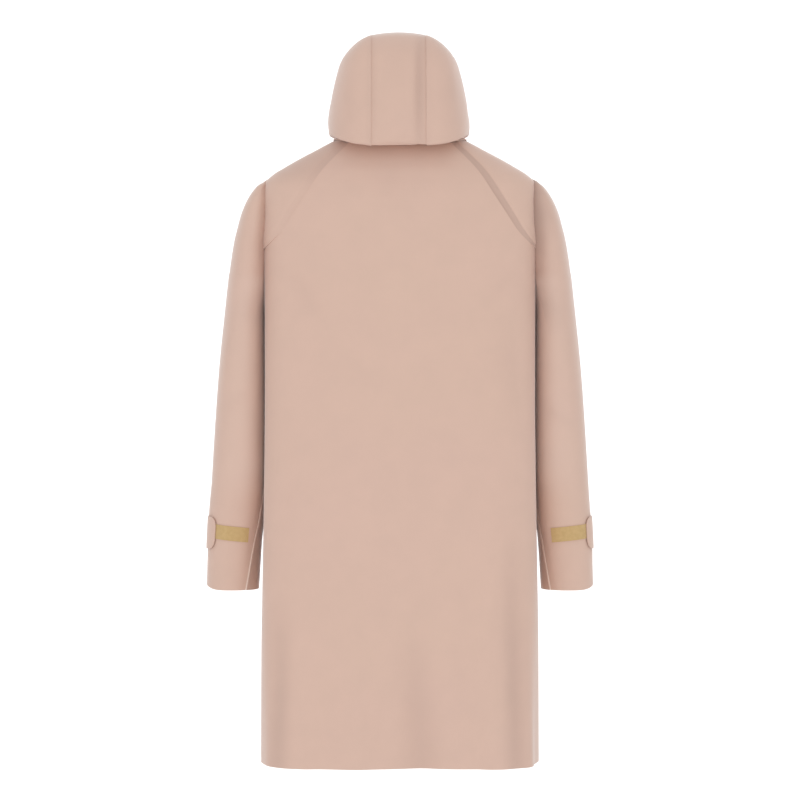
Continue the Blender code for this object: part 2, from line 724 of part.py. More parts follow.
def make_sheet(name, rows, wall, material, collection, flip):
    """A sheet of cloth from rows of points, thickened evenly to both sides of them."""
    mesh = bmesh.new()
    grid = [[mesh.verts.new(point) for point in row] for row in rows]
    for upper, lower in zip(grid, grid[1:]):
        for a, b, c, d in zip(upper, upper[1:], lower[1:], lower):
            mesh.faces.new((a, d, c, b) if flip else (a, b, c, d))
    bmesh.ops.remove_doubles(mesh, verts=mesh.verts, dist=1e-5)
    bmesh.ops.dissolve_degenerate(mesh, edges=mesh.edges, dist=1e-5)
    data = bpy.data.meshes.new(name)
    mesh.to_mesh(data)
    mesh.free()
    data.shade_smooth()
    data.materials.append(material)
    sheet = bpy.data.objects.new(name, data)
    collection.objects.link(sheet)
    solidify = sheet.modifiers.new("Cloth", "SOLIDIFY")
    solidify.thickness = wall
    solidify.offset = 0
    solidify.use_rim = True
    return sheet


def main():
    for old in list(bpy.data.objects):
        bpy.data.objects.remove(old, do_unlink=True)
    coat = bpy.data.collections.new("hooded_long_coat")
    bpy.context.scene.collection.children.link(coat)
    cloth = make_material("coat_cloth", (0.665, 0.457, 0.385), 0.62)
    tape = make_material("loop_tape", (0.578, 0.398, 0.188), 0.85)

    make_sheet("back", back_rows(), CLOTH_WALL, cloth, coat, flip=False)
    make_sheet("hood_centre", hood_strip_rows(), CLOTH_WALL, cloth, coat, flip=False)
    for side, name in SIDE_NAMES.items():
        left = side == LEFT
        make_sheet(f"front_{name}", front_rows(side), CLOTH_WALL, cloth, coat, flip=not left)
        make_sheet(f"sleeve_{name}", sleeve_rows(side), CLOTH_WALL, cloth, coat, flip=left)
        make_sheet(f"hood_side_{name}", hood_side_rows(side), CLOTH_WALL, cloth, coat, flip=not left)
        make_sheet(f"cuff_tab_{name}", cuff_tab_rows(side), CLOTH_WALL, cloth, coat, flip=not left)
        make_sheet(f"cuff_strip_{name}", cuff_tape_rows(side), TAPE_WALL, tape, coat, flip=not left)


main()
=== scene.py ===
"""The looks of a hooded long coat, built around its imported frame.

Metres, +Z up. The coat faces -Y and the wearer's left is at +X. Every panel is a thin sheet of cloth on the
same form as its solid, read at finer steps, with its creases, lapped seams and folded hood foot added.
"""

import math
from functools import lru_cache

import bpy
import numpy as np
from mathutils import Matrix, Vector


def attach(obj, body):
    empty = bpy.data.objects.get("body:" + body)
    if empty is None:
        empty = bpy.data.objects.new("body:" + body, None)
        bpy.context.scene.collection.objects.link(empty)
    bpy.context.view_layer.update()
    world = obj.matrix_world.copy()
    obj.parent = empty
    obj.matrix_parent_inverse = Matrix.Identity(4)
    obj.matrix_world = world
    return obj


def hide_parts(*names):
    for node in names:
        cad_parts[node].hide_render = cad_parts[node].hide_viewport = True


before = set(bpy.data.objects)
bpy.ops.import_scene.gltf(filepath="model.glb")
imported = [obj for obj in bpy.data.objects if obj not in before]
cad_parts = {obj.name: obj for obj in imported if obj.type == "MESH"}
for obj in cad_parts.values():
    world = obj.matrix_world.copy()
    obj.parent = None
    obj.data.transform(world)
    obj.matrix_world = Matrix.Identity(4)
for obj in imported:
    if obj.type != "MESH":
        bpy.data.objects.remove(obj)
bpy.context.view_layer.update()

# The cloth, and the gaps between its layers.
CLOTH_WALL = 0.0015
LAYER_GAP = 0.0023
ARMPIT_GAP = 0.0024
# The steps that curves are read at, and the distance that their slopes are measured over.
CURVE_STEPS = 90
ROLL_STEPS = 6
LIP_STEPS = 6
NUDGE = 0.001

LEFT, RIGHT = 1, -1
SIDE_NAMES = {LEFT: "left", RIGHT: "right"}

# Levels are heights at the coat's sides. The neckline dips below its level at the back and at the front.
NECK_LEVEL = 0.004
CREASE_LEVEL = -0.193
UNDERARM_LEVEL = -0.230
HEM_LEVEL = -1.080
CUFF_LEVEL = -0.785
NECK_DIP_BACK = 0.014
NECK_DIP_FRONT = 0.079
NECK_DIP_FADES_OVER = 0.250


class Profile:
    """Columns read against height, on a smooth curve that never overshoots its rows of (height, *columns)."""

    def __init__(self, columns, *rows):
        table = np.array(sorted(rows), float)
        self.columns = columns
        self.heights = table[:, 0]
        self.values = table[:, 1:]
        slope = np.diff(self.values, axis=0) / np.diff(self.heights)[:, None]
        before, after = slope[:-1], slope[1:]
        same_way = before * after > 0
        total = np.where(same_way, before + after, 1.0)
        inner = np.where(same_way, 2 * before * after / total, 0.0)
        self.slopes = np.vstack([slope[:1], inner, slope[-1:]])

    def at(self, height, column):
        k = self.columns.index(column)
        height = min(max(height, self.heights[0]), self.heights[-1])
        i = min(int(np.searchsorted(self.heights, height, side="right")) - 1, len(self.heights) - 2)
        span = self.heights[i + 1] - self.heights[i]
        t = (height - self.heights[i]) / span
        low, high = self.values[i, k], self.values[i + 1, k]
        rise_low, rise_high = self.slopes[i, k] * span, self.slopes[i + 1, k] * span
        bend = 3 * (high - low) - 2 * rise_low - rise_high
        twist = 2 * (low - high) + rise_low + rise_high
        return float(low + t * (rise_low + t * (bend + t * twist)))


# The body's rings. The two roundness columns are superellipse exponents: 2 is an ellipse, more is boxier.
BODY = Profile(
    ("half_width", "back", "front", "back_round", "front_round"),
    (0.004, 0.105, 0.062, 0.066, 2.2, 2.2),
    (-0.005, 0.1235, 0.07, 0.072, 2.2, 2.2),
    (-0.019, 0.1495, 0.078, 0.078, 2.2, 2.2),
    (-0.033, 0.176, 0.084, 0.084, 2.2, 2.2),
    (-0.047, 0.2002, 0.089, 0.089, 2.3, 2.2),
    (-0.061, 0.2222, 0.092, 0.094, 2.5, 2.3),
    (-0.075, 0.235, 0.095, 0.098, 2.7, 2.4),
    (-0.1, 0.2378, 0.099, 0.104, 3, 2.5),
    (-0.15, 0.2378, 0.103, 0.112, 3.3, 2.7),
    (-0.2, 0.237, 0.105, 0.116, 3.4, 2.8),
    (-0.3, 0.2352, 0.106, 0.12, 3.4, 2.8),
    (-0.45, 0.2348, 0.107, 0.121, 3.4, 2.8),
    (-0.65, 0.2368, 0.111, 0.122, 3.5, 2.8),
    (-0.76, 0.2385, 0.113, 0.123, 3.7, 2.8),
    (-0.88, 0.2402, 0.116, 0.125, 4.4, 2.9),
    (-1.08, 0.2408, 0.121, 0.129, 6, 3),
)

# The largest soft folds of the skirt. A turn is 0 at the centre back, 1 at the wearer's left side seam, -1 at
# the right one and 2 at the centre front. Each fold grows from its top level to its full depth at the hem.
FOLDS = (
    # turn, half_width, out_at_hem, top_level
    (-0.78, 0.15, -0.009, -0.7),
    (-0.53, 0.14, 0.006, -0.74),
    (-0.1, 0.2, -0.007, -0.8),
    (0.24, 0.18, 0.005, -0.76),
    (0.75, 0.16, -0.008, -0.72),
    (-1.42, 0.18, 0.007, -0.66),
    (-1.72, 0.14, -0.006, -0.78),
    (1.28, 0.16, 0.006, -0.74),
    (1.6, 0.18, -0.007, -0.7),
)

# The sleeve's rings: half-depth is front to back, and the valley angle is where the ring leaves the body,
# measured round the ring from its inner side.
SLEEVE = Profile(
    ("outer_x", "centre_y", "half_depth", "valley_deg"),
    (0.004, 0.105, -0.002, 0.01, 60),
    (-0.033, 0.1785, -0.004, 0.012, 60),
    (-0.061, 0.224, -0.007, 0.014, 56),
    (-0.07, 0.2378, -0.01, 0.022, 51),
    (-0.08, 0.25, -0.012, 0.044, 47),
    (-0.1, 0.265, -0.014, 0.06, 51),
    (-0.125, 0.2765, -0.016, 0.07, 48),
    (-0.152, 0.2845, -0.018, 0.078, 46),
    (-0.178, 0.291, -0.02, 0.083, 43),
    (-0.23, 0.299, -0.022, 0.086, 40),
    (-0.3, 0.307, -0.024, 0.081, 30),
    (-0.4, 0.3175, -0.027, 0.073, 20),
    (-0.5, 0.325, -0.03, 0.066, 20),
    (-0.6, 0.3313, -0.032, 0.06, 20),
    (-0.7, 0.3375, -0.033, 0.0545, 20),
    (-0.785, 0.34, -0.034, 0.051, 20),
)
SLEEVE_ROUND = 2.2
# Below the underarm the sleeve is a closed ring, and its seam turns towards the back on the way to the cuff.
SLEEVE_INSIDE = Profile(
    ("inner_x", "seam_deg"),
    (-0.23, 0.23, 5),
    (-0.3, 0.2374, 4),
    (-0.4, 0.2371, 3),
    (-0.5, 0.2374, 3),
    (-0.605, 0.2386, 6),
    (-0.66, 0.2402, 18),
    (-0.7, 0.244, 30),
    (-0.785, 0.2495, 50),
)
SLEEVE_PARTS_FROM = -0.063
SLEEVE_PARTED_BY = -0.080
ARMPIT_GAP_FROM = -0.125
ARMPIT_GAP_BY = -0.187
INSIDE_FREED_OVER = 0.07
TUBE_IS_EVEN_BY = -0.36
INNER_SHARE = 0.18
UNDERARM_Y = -0.0127
CUFF_RISE = 0.008
CUFF_RISE_FROM = -0.72
CUFF_RISE_POWER = 4

# The raglan seams. Each starts this far across the neckline, and the table has its share of the way from
# there to the crease beside the arm.
BACK_SEAM_NECK_X = 0.083
FRONT_SEAM_NECK_X = 0.070
RAGLAN = Profile(
    ("at_back", "at_front"),
    (0.004, 0, 0),
    (-0.053, 0.35, 0.31),
    (-0.097, 0.53, 0.54),
    (-0.127, 0.65, 0.68),
    (-0.161, 0.79, 0.84),
    (-0.193, 1, 1),
)

# The hood's rings, from the fold at its foot to the seam over the crown. Back is where the centre strip lies,
# and the opening angle is where the ring ends at the face.
HOOD = Profile(
    ("half_width", "back", "front_reach", "opening_deg", "front_drop", "back_drop"),
    (0.0095, 0.1212, 0.112, 0.074, 80, 0.0775, 0.0275),
    (0.03, 0.1217, 0.115, 0.097, 66.8, 0.068, 0.022),
    (0.055, 0.1197, 0.116, 0.127, 53.5, 0.058, 0.017),
    (0.085, 0.1147, 0.114, 0.162, 41, 0.05, 0.01),
    (0.12, 0.1063, 0.107, 0.177, 36.3, 0.04, 0.004),
    (0.135, 0.1012, 0.102, 0.178, 35.2, 0.034, 0.002),
    (0.148, 0.0932, 0.094, 0.178, 34.3, 0.028, 0),
    (0.16, 0.0826, 0.083, 0.177, 33.6, 0.023, 0),
    (0.169, 0.0715, 0.071, 0.177, 32.6, 0.019, 0),
    (0.174, 0.062, 0.06, 0.184, 30.4, 0.0165, 0),
    (0.1775, 0.053, 0.047, 0.205, 26, 0.0145, 0),
    (0.1795, 0.047, 0.035, 0.235, 22, 0.0135, 0),
)
HOOD_TOP = 0.1795
HOOD_FOOT = 0.0095
HOOD_MIDDLE_Y = -0.005
HOOD_MIDDLE_Z = 0.070
HOOD_FRONT_ROUND = 2.3
HOOD_BACK_ROUND = 2.3
HOOD_DROP_POWER = 4.2
HOOD_EDGE_X = 0.022
STRIP_HALF = 0.047
STRIP_CROWN = 0.0047
ROLL_RADIUS = 0.0025
LIP_ARCH = 0.004
LIP_LIFT = 0.0028

# The fronts overlap left over right.
OVERLAP_HALF = 0.030
COVER_FLAT_TO = 0.035
COVER_ENDS_AT = 0.100
UNDER_EDGE_FLAT_TO = 0.033
UNDER_EDGE_FADES_OVER = 0.020

# The strap round the outside of each cuff, and the loop tape beneath its end.
TAB_END_DEG = {LEFT: 128, RIGHT: 134}
TAB_ROOT_DEG = 286
TAB_MIDDLE_Z = -0.685
TAB_HALF_HEIGHT = 0.028
TAB_CORNER = 0.016
TAB_OUT_END = 0.0036
TAB_OUT_ROOT = 0.0021
TAB_LIES_CLOSE_BY_DEG = 178
TAPE_END_DEG = 60
TAPE_ROOT_DEG = 160
TAPE_HALF_HEIGHT = 0.0125
TAPE_END_Z = -0.6885
TAPE_ROOT_Z = -0.6795
TAPE_WALL = 0.0012
TAPE_OUT = 0.0017


def ease(t):
    """0 to 1 along a smooth step."""
    t = min(max(t, 0.0), 1.0)
    return t * t * (3 - 2 * t)


def mix(a, b, t):
    return a + (b - a) * t


def signed_power(value, power):
    return math.copysign(abs(value) ** power, value)


# The body.


@lru_cache(maxsize=None)
def body_ring(level):
    """Half a ring, from the centre front round the side to the back: x, y and the distance from the side."""
    half, back, front = (BODY.at(level, name) for name in ("half_width", "back", "front"))
    t = np.linspace(0, math.pi / 2, CURVE_STEPS)
    back_power = 2 / BODY.at(level, "back_round")
    front_power = 2 / BODY.at(level, "front_round")
    back_x, back_y = half * np.cos(t) ** back_power, back * np.sin(t) ** back_power
    front_x, front_y = half * np.cos(t) ** front_power, -front * np.sin(t) ** front_power
    x = np.concatenate([front_x[::-1], back_x[1:]])
    y = np.concatenate([front_y[::-1], back_y[1:]])
    x[0] = x[-1] = 0.0
    along = np.concatenate([[0], np.cumsum(np.hypot(np.diff(x), np.diff(y)))])
    return x, y, along - along[CURVE_STEPS - 1]


def ring_x_at_y(level, y):
    x, ys, _ = body_ring(level)
    return float(np.interp(y, ys, x))


def ring_s_at_y(level, y):
    _, ys, along = body_ring(level)
    return float(np.interp(y, ys, along))


def ring_s_at_x(level, x, at_back):
    """The distance along the ring of the point this far across the coat, on its back or its front."""
    xs, _, along = body_ring(level)
    if at_back:
        return float(np.interp(-x, -xs[CURVE_STEPS - 1 :], along[CURVE_STEPS - 1 :]))
    return float(np.interp(x, xs[:CURVE_STEPS], along[:CURVE_STEPS]))


def neck_dip(level, y):
    """How far a point of the body lies below its level: the neckline dips at the back and at the front."""
    depth = BODY.at(level, "back" if y > 0 else "front")
    dip = NECK_DIP_BACK if y > 0 else NECK_DIP_FRONT
    fade = 1 - ease((NECK_LEVEL - level) / NECK_DIP_FADES_OVER)
    return dip * fade * min(abs(y) / depth, 1.0) ** 2


def fold_out(level, turn):
    """How far the skirt's folds stand out at a level and a turn round the body."""
    out = 0.0
    for middle, half_width, out_at_hem, top_level in FOLDS:
        across = (turn - middle) / half_width
        if abs(across) < 1:
            grown = ease((top_level - level) / (top_level - HEM_LEVEL))
            out += out_at_hem * grown * math.cos(across * math.pi / 2) ** 2
    return out


def ring_place(level, s, out):
    """A point of the body's ring, moved straight out of it: x and y."""
    x, y, along = body_ring(level)
    step_x = np.interp(s + NUDGE, along, x) - np.interp(s - NUDGE, along, x)
    step_y = np.interp(s + NUDGE, along, y) - np.interp(s - NUDGE, along, y)
    outward = np.array([step_y, -step_x]) / math.hypot(step_x, step_y)
    return np.array([np.interp(s, along, x), np.interp(s, along, y)]) + outward * out


def body_surface(side, level, s):
    """A point of the body form. s is the distance round from the side line, towards the back if positive."""
    along = body_ring(level)[2]
    if s > along[-1]:
        s, side = 2 * along[-1] - s, -side
    elif s < along[0]:
        s, side = 2 * along[0] - s, -side
    turn = 1 - s / along[-1] if s > 0 else 1 + s / along[0]
    x, y = ring_place(level, s, fold_out(level, side * turn))
    return Vector((side * x, y, level - neck_dip(level, y)))


def body_point(side, level, s, out):
    """A point of the body form, moved out of it along its normal."""
    high, low = min(level + NUDGE, NECK_LEVEL), max(level - NUDGE, HEM_LEVEL)
    up = body_surface(side, high, s) - body_surface(side, low, s)
    round_it = body_surface(side, level, s + NUDGE) - body_surface(side, level, s - NUDGE)
    return body_surface(side, level, s) + round_it.cross(up).normalized() * side * out


def valley_y(level, at_back):
    """Where the sleeve leaves the body at a level, front to back."""
    rise = math.sin(math.radians(SLEEVE.at(level, "valley_deg"))) ** (2 / SLEEVE_ROUND)
    reach = SLEEVE.at(level, "half_depth") * rise
    return SLEEVE.at(level, "centre_y") + (reach if at_back else -reach)


def raglan_s(level, at_back):
    """The edge of the back or a front on a ring: the raglan seam to the underarm, then the side seam."""
    crease_y = valley_y(CREASE_LEVEL, at_back)
    if level >= CREASE_LEVEL:
        neck_x = BACK_SEAM_NECK_X if at_back else FRONT_SEAM_NECK_X
        share = RAGLAN.at(level, "at_back" if at_back else "at_front")
        if share > 0.999:
            return ring_s_at_y(CREASE_LEVEL, crease_y)
        return ring_s_at_x(level, mix(neck_x, ring_x_at_y(CREASE_LEVEL, crease_y), share), at_back)
    down = (CREASE_LEVEL - level) / (CREASE_LEVEL - UNDERARM_LEVEL)
    return mix(ring_s_at_y(level, crease_y), ring_s_at_y(level, UNDERARM_Y), min(down, 1.0))


# The sleeve.


def oval_inner_x(level, at_back):
    """The x of the sleeve ring's inner side. Down to the underarm it meets the body at the valley."""
    joined = max(level, UNDERARM_LEVEL)
    outer_x = SLEEVE.at(joined, "outer_x")
    reach = math.cos(math.radians(SLEEVE.at(joined, "valley_deg"))) ** (2 / SLEEVE_ROUND)
    valley_x = ring_x_at_y(joined, valley_y(joined, at_back)) + sleeve_gap(joined)
    inner_x = outer_x - 2 * (outer_x - valley_x) / (1 + reach)
    if level >= UNDERARM_LEVEL:
        return inner_x
    freed = ease((UNDERARM_LEVEL - level) / INSIDE_FREED_OVER)
    return mix(inner_x, SLEEVE_INSIDE.at(level, "inner_x"), freed)


def sleeve_gap(level):
    """How far the sleeve lies outside the body's side where the two are back to back."""
    return ARMPIT_GAP * ease((ARMPIT_GAP_FROM - level) / (ARMPIT_GAP_FROM - ARMPIT_GAP_BY))


def sleeve_oval(level, angle):
    """The sleeve's ring at an angle from its inner side, by way of its back: x and y."""
    outer_x = SLEEVE.at(level, "outer_x")
    inner_x = oval_inner_x(level, math.sin(angle) >= 0)
    x = (outer_x + inner_x) / 2 - (outer_x - inner_x) / 2 * signed_power(math.cos(angle), 2 / SLEEVE_ROUND)
    y = SLEEVE.at(level, "centre_y") + SLEEVE.at(level, "half_depth") * signed_power(
        math.sin(angle), 2 / SLEEVE_ROUND
    )
    if level < UNDERARM_LEVEL:
        closeness = ease((level - TUBE_IS_EVEN_BY) / (UNDERARM_LEVEL - TUBE_IS_EVEN_BY))
        x = max(x, ring_x_at_y(level, y) + ARMPIT_GAP * closeness)
    return x, y


def column_angle(level, v):
    """The angle of a column of the closed sleeve: v is 0 at the seam's back edge and 1 at its front edge."""
    seam = math.radians(SLEEVE_INSIDE.at(level, "seam_deg"))
    valley = math.radians(SLEEVE.at(level, "valley_deg"))
    stops = (0, INNER_SHARE, 1 - INNER_SHARE, 1)
    parted = float(np.interp(v, stops, (seam, valley, 2 * math.pi - valley, 2 * math.pi + seam)))
    evened = ease((UNDERARM_LEVEL - level) / (UNDERARM_LEVEL - TUBE_IS_EVEN_BY))
    return mix(parted, seam + 2 * math.pi * v, evened)


def sleeve_lift(level, angle):
    """The cuff's lower edge rises towards its outer side."""
    lowered = ease((CUFF_RISE_FROM - level) / (CUFF_RISE_FROM - CUFF_LEVEL))
    return CUFF_RISE * lowered * max(-math.cos(angle), 0.0) ** CUFF_RISE_POWER


def tube_surface(side, level, angle):
    x, y = sleeve_oval(level, angle)
    return Vector((side * x, y, level + sleeve_lift(level, angle)))


def sleeve_point(side, level, v):
    """A point of the sleeve: v goes from 0 at its back edge, round the outer side, to 1 at its front edge."""
    if level < UNDERARM_LEVEL:
        return tube_surface(side, level, column_angle(level, v))
    gap = sleeve_gap(level)
    back_valley, front_valley = (ring_s_at_y(level, valley_y(level, at_back)) for at_back in (True, False))
    if v <= INNER_SHARE:
        place = ring_place(level, mix(raglan_s(level, True), back_valley, v / INNER_SHARE), gap)
    elif v >= 1 - INNER_SHARE:
        place = ring_place(level, mix(raglan_s(level, False), front_valley, (1 - v) / INNER_SHARE), gap)
    else:
        share = (v - INNER_SHARE) / (1 - 2 * INNER_SHARE)
        valley = math.radians(SLEEVE.at(level, "valley_deg"))
        over_body = ring_place(level, mix(back_valley, front_valley, share), 0.0)
        at_back = ring_place(level, back_valley, gap) - sleeve_oval(level, valley)
        at_front = ring_place(level, front_valley, gap) - sleeve_oval(level, 2 * math.pi - valley)
        tube = sleeve_oval(level, mix(valley, 2 * math.pi - valley, share)) + mix(at_back, at_front, share)
        parted = ease((SLEEVE_PARTS_FROM - level) / (SLEEVE_PARTS_FROM - SLEEVE_PARTED_BY))
        place = mix(over_body, tube, parted)
    return Vector((side * place[0], place[1], level - neck_dip(level, place[1])))


# The hood.


def even(points, count):
    """The same curve as count + 1 points at equal distances along it."""
    points = np.array(points, float)
    along = np.concatenate([[0], np.cumsum(np.linalg.norm(np.diff(points, axis=0), axis=1))])
    at = np.linspace(0, along[-1], count + 1)
    return [Vector([np.interp(a, along, points[:, k]) for k in range(3)]) for a in at]


def hood_curve(side, level):
    """One ring of a hood side, from its seam with the centre strip round the side to the face edge."""
    half, back, reach = (HOOD.at(level, name) for name in ("half_width", "back", "front_reach"))
    opening = math.radians(HOOD.at(level, "opening_deg"))
    curve = []
    for t in np.linspace(math.pi / 2, 0, CURVE_STEPS):
        across = max(math.cos(t), 0.0) ** (2 / HOOD_BACK_ROUND)
        deep = math.sin(t) ** (2 / HOOD_BACK_ROUND)
        y = HOOD_MIDDLE_Y + (back - HOOD_MIDDLE_Y) * deep
        z = level - HOOD.at(level, "back_drop") * deep**2
        curve.append((side * (STRIP_HALF + (half - STRIP_HALF) * across), y, z))
    edge_deep = math.sin(opening) ** (2 / HOOD_FRONT_ROUND)
    for t in np.linspace(0, opening, CURVE_STEPS)[1:]:
        deep = math.sin(t) ** (2 / HOOD_FRONT_ROUND)
        x = half * math.cos(t) ** (2 / HOOD_FRONT_ROUND)
        z = level - HOOD.at(level, "front_drop") * (deep / edge_deep) ** HOOD_DROP_POWER
        curve.append((side * x, HOOD_MIDDLE_Y - reach * deep, z))
    return curve


def neck_edge(side, share, below=0.0):
    """Where the hood is sewn on, or a little below: share is 0 at the centre strip and 1 at the face edge."""
    from_s = ring_s_at_x(NECK_LEVEL, STRIP_HALF, True)
    to_s = ring_s_at_x(NECK_LEVEL, HOOD_EDGE_X, False)
    s = mix(from_s, to_s, share)
    out = LIP_LIFT + front_cover(side, s - body_ring(NECK_LEVEL)[2][0])
    return body_point(side, NECK_LEVEL - below, s, out)


def fold_and_lip(foot, edge):
    """The hood's foot along one column: from its wall down round the fold and inward to the neck seam."""
    inward = Vector((edge.x - foot.x, edge.y - foot.y, 0)).normalized()
    points = []
    for k in range(ROLL_STEPS + 1):
        turn = math.pi / 2 * k / ROLL_STEPS
        down = Vector((0, 0, ROLL_RADIUS * (1 - math.sin(turn))))
        points.append(foot + down + inward * ROLL_RADIUS * (1 - math.cos(turn)))
    start = points[-1]
    for k in range(1, LIP_STEPS + 1):
        arch = Vector((0, 0, LIP_ARCH * math.sin(math.pi * k / LIP_STEPS)))
        points.append(start.lerp(edge, k / LIP_STEPS) + arch)
    return points


def front_cover(side, distance):
    """How far the outermost front lies out of the body form, this far from the centre front."""
    if side == LEFT:
        return LAYER_GAP * (1 - ease((distance - COVER_FLAT_TO) / (COVER_ENDS_AT - COVER_FLAT_TO)))
    return LAYER_GAP * (1 - ease((distance - UNDER_EDGE_FLAT_TO) / UNDER_EDGE_FADES_OVER))


# The cloth's grids: arrays of points, rows by columns, with where each point lies on the flat cut.


class Panel:
    """A piece of cloth as a grid of points. Each also has its lift off the form and its painted light and
    painted shade.
    """

    def __init__(self, rows, across, down, outside):
        self.points = np.array([[tuple(p) for p in row] for row in rows])
        self.across = np.array(across, float)
        self.down = np.array(down, float)
        if self.down.ndim == 1:
            self.down = np.repeat(self.down[:, None], self.points.shape[1], axis=1)
        self.lift = np.zeros(self.points.shape[:2])
        self.painted_light = np.zeros(self.points.shape[:2])
        self.painted_shade = np.zeros(self.points.shape[:2])
        self.outside = outside

    def normals(self):
        along_row = np.gradient(self.points, axis=1)
        along_column = np.gradient(self.points, axis=0)
        normal = np.cross(along_row, along_column) * self.outside
        return normal / np.maximum(np.linalg.norm(normal, axis=2, keepdims=True), 1e-12)

    def settle(self):
        """Moves the points out by their lift."""
        self.points = self.points + self.normals() * self.lift[..., None]
        self.lift[:] = 0


def soft_line(across, down, line):
    """The height of a soft crease or ridge at every point, tapered to nothing at both of its ends."""
    start_across, start_down, end_across, end_down, half_width, height = line
    run = np.array([end_across - start_across, end_down - start_down])
    length = np.linalg.norm(run)
    to_across, to_down = run / length
    along = ((across - start_across) * to_across + (down - start_down) * to_down) / length
    off = (across - start_across) * to_down - (down - start_down) * to_across
    taper = np.clip(1 - (2 * along - 1) ** 2, 0, 1)
    return height * taper * np.exp(-((off / half_width) ** 2))


# Painted shade in the creases' hollows, full where they are this deep.
HOLLOW_DEPTH = 0.0066
HOLLOW_PAINTED_SHADE = 0.28


def crease(panel, lines):
    """Creases and ridges on a panel, with painted shade in their hollows."""
    height = sum(soft_line(panel.across, panel.down, line) for line in lines)
    panel.lift += height
    panel.painted_shade += HOLLOW_PAINTED_SHADE * np.clip(-height / HOLLOW_DEPTH, 0, 1)


def bump(distance, half_width):
    """A smooth hump, 1 at no distance."""
    return np.exp(-((distance / half_width) ** 2))


def rise(values, start, over):
    """0 up to a start, then smoothly to 1 over a run. A negative run goes the other way."""
    t = np.clip((values - start) / over, 0, 1)
    return t * t * (3 - 2 * t)


# The grids' steps, which are finer where the cloth is lapped or creased and near its edges.


def stops(*runs):
    """One rising or falling list from runs of (start, end, step)."""
    values = []
    for start, end, step in runs:
        count = max(int(round(abs(end - start) / step)), 1)
        values += [mix(start, end, k / count) for k in range(count)]
    return values + [runs[-1][1]]


SHOULDER_STOPS = stops((NECK_LEVEL, -0.056, 0.0035), (-0.056, -0.2, 0.003), (-0.2, UNDERARM_LEVEL, 0.004))
SKIRT_STOPS = stops(
    (UNDERARM_LEVEL, -0.3, 0.0055),
    (-0.3, HEM_LEVEL + 0.03, 0.009),
    (HEM_LEVEL + 0.03, HEM_LEVEL + 0.002, 0.003),
    (HEM_LEVEL + 0.002, HEM_LEVEL, 0.001),
)[1:]
TUBE_STOPS = stops(
    (UNDERARM_LEVEL, -0.32, 0.0045),
    (-0.32, CUFF_LEVEL + 0.03, 0.006),
    (CUFF_LEVEL + 0.03, CUFF_LEVEL + 0.002, 0.003),
    (CUFF_LEVEL + 0.002, CUFF_LEVEL, 0.001),
)[1:]
HOOD_STOPS = stops((0.0135, 0.150, 0.004), (0.150, 0.175, 0.0025), (0.175, HOOD_TOP, 0.0010))
HALF_BACK_COLUMNS = 46
FRONT_COLUMNS = 56
NEAR_SEAM = [0.992, 1.0]
NEAR_CENTRE = [0.0, 0.004, 0.010]
# The sleeve's columns beside its seam, by their distance from it, and the run of cloth that they need.
BAND_STOPS = (0.0, 0.0008, 0.0019, 0.0030, 0.0080, 0.0130, 0.0142, 0.0156, 0.0170, 0.0200)
BAND_NEEDS = 0.030
INNER_COLUMNS = 24
OUTER_COLUMNS = 84
BACK_VALLEY_COLUMN = len(BAND_STOPS) + INNER_COLUMNS - 1
FRONT_VALLEY_COLUMN = BACK_VALLEY_COLUMN + OUTER_COLUMNS
HOOD_COLUMNS = 56
STRIP_COLUMNS = 26
TAB_COLUMNS = 26
TAPE_COLUMNS = 14
CUFF_PIECE_STEP = 0.0018

# Soft creases, in metres on the cloth: across from the centre back to the wearer's left, and down.
BACK_CREASES = (
    # start_across, start_down, end_across, end_down, half_width, height
    (0.205, -0.215, 0.12, -0.33, 0.016, -0.0016),
    (-0.21, -0.225, -0.135, -0.3, 0.014, -0.0013),
    (-0.18, -0.3, -0.2, -0.52, 0.02, -0.0016),
    (0.17, -0.34, 0.19, -0.6, 0.024, 0.0014),
    (0.01, -0.02, 0.03, -0.1, 0.022, -0.001),
    (0.205, -0.78, 0.222, -1.3, 0.022, -0.006),
    (0.168, -0.84, 0.16, -1.3, 0.016, 0.0026),
    (-0.158, -0.64, -0.148, -1.3, 0.013, 0.0036),
    (-0.192, -0.66, -0.205, -1.3, 0.019, -0.0066),
    (-0.02, -0.84, -0.052, -1.3, 0.024, -0.0048),
    (0.06, -0.9, 0.084, -1.26, 0.022, 0.0024),
)


def back_panel():
    levels = SHOULDER_STOPS + SKIRT_STOPS
    rows, across = [], []
    shares = [k / HALF_BACK_COLUMNS for k in range(HALF_BACK_COLUMNS + 1)]
    shares[-1:] = NEAR_SEAM
    for level in levels:
        middle, edge = body_ring(level)[2][-1], raglan_s(level, True)
        places = [(RIGHT, share) for share in shares[:0:-1]] + [(LEFT, share) for share in shares]
        rows.append([body_surface(side, level, mix(middle, edge, share)) for side, share in places])
        across.append([side * (middle - edge) * share for side, share in places])
    panel = Panel(rows, across, levels, 1)
    crease(panel, BACK_CREASES)
    return panel


# Across is from the centre front towards the side.
FRONT_CREASES = {
    LEFT: (
        (0.205, -0.235, 0.11, -0.34, 0.015, -0.0026),
        (0.19, -0.26, 0.15, -0.42, 0.018, -0.002),
        (0.09, -0.7, 0.12, -1.06, 0.026, 0.003),
        (0.04, -0.12, 0.07, -0.2, 0.016, -0.0015),
    ),
    RIGHT: (
        (0.21, -0.23, 0.125, -0.32, 0.014, -0.0024),
        (0.175, -0.28, 0.16, -0.46, 0.02, -0.0022),
        (0.11, -0.76, 0.095, -1.05, 0.022, -0.0026),
        (0.05, -0.11, 0.065, -0.23, 0.018, 0.0014),
    ),
}


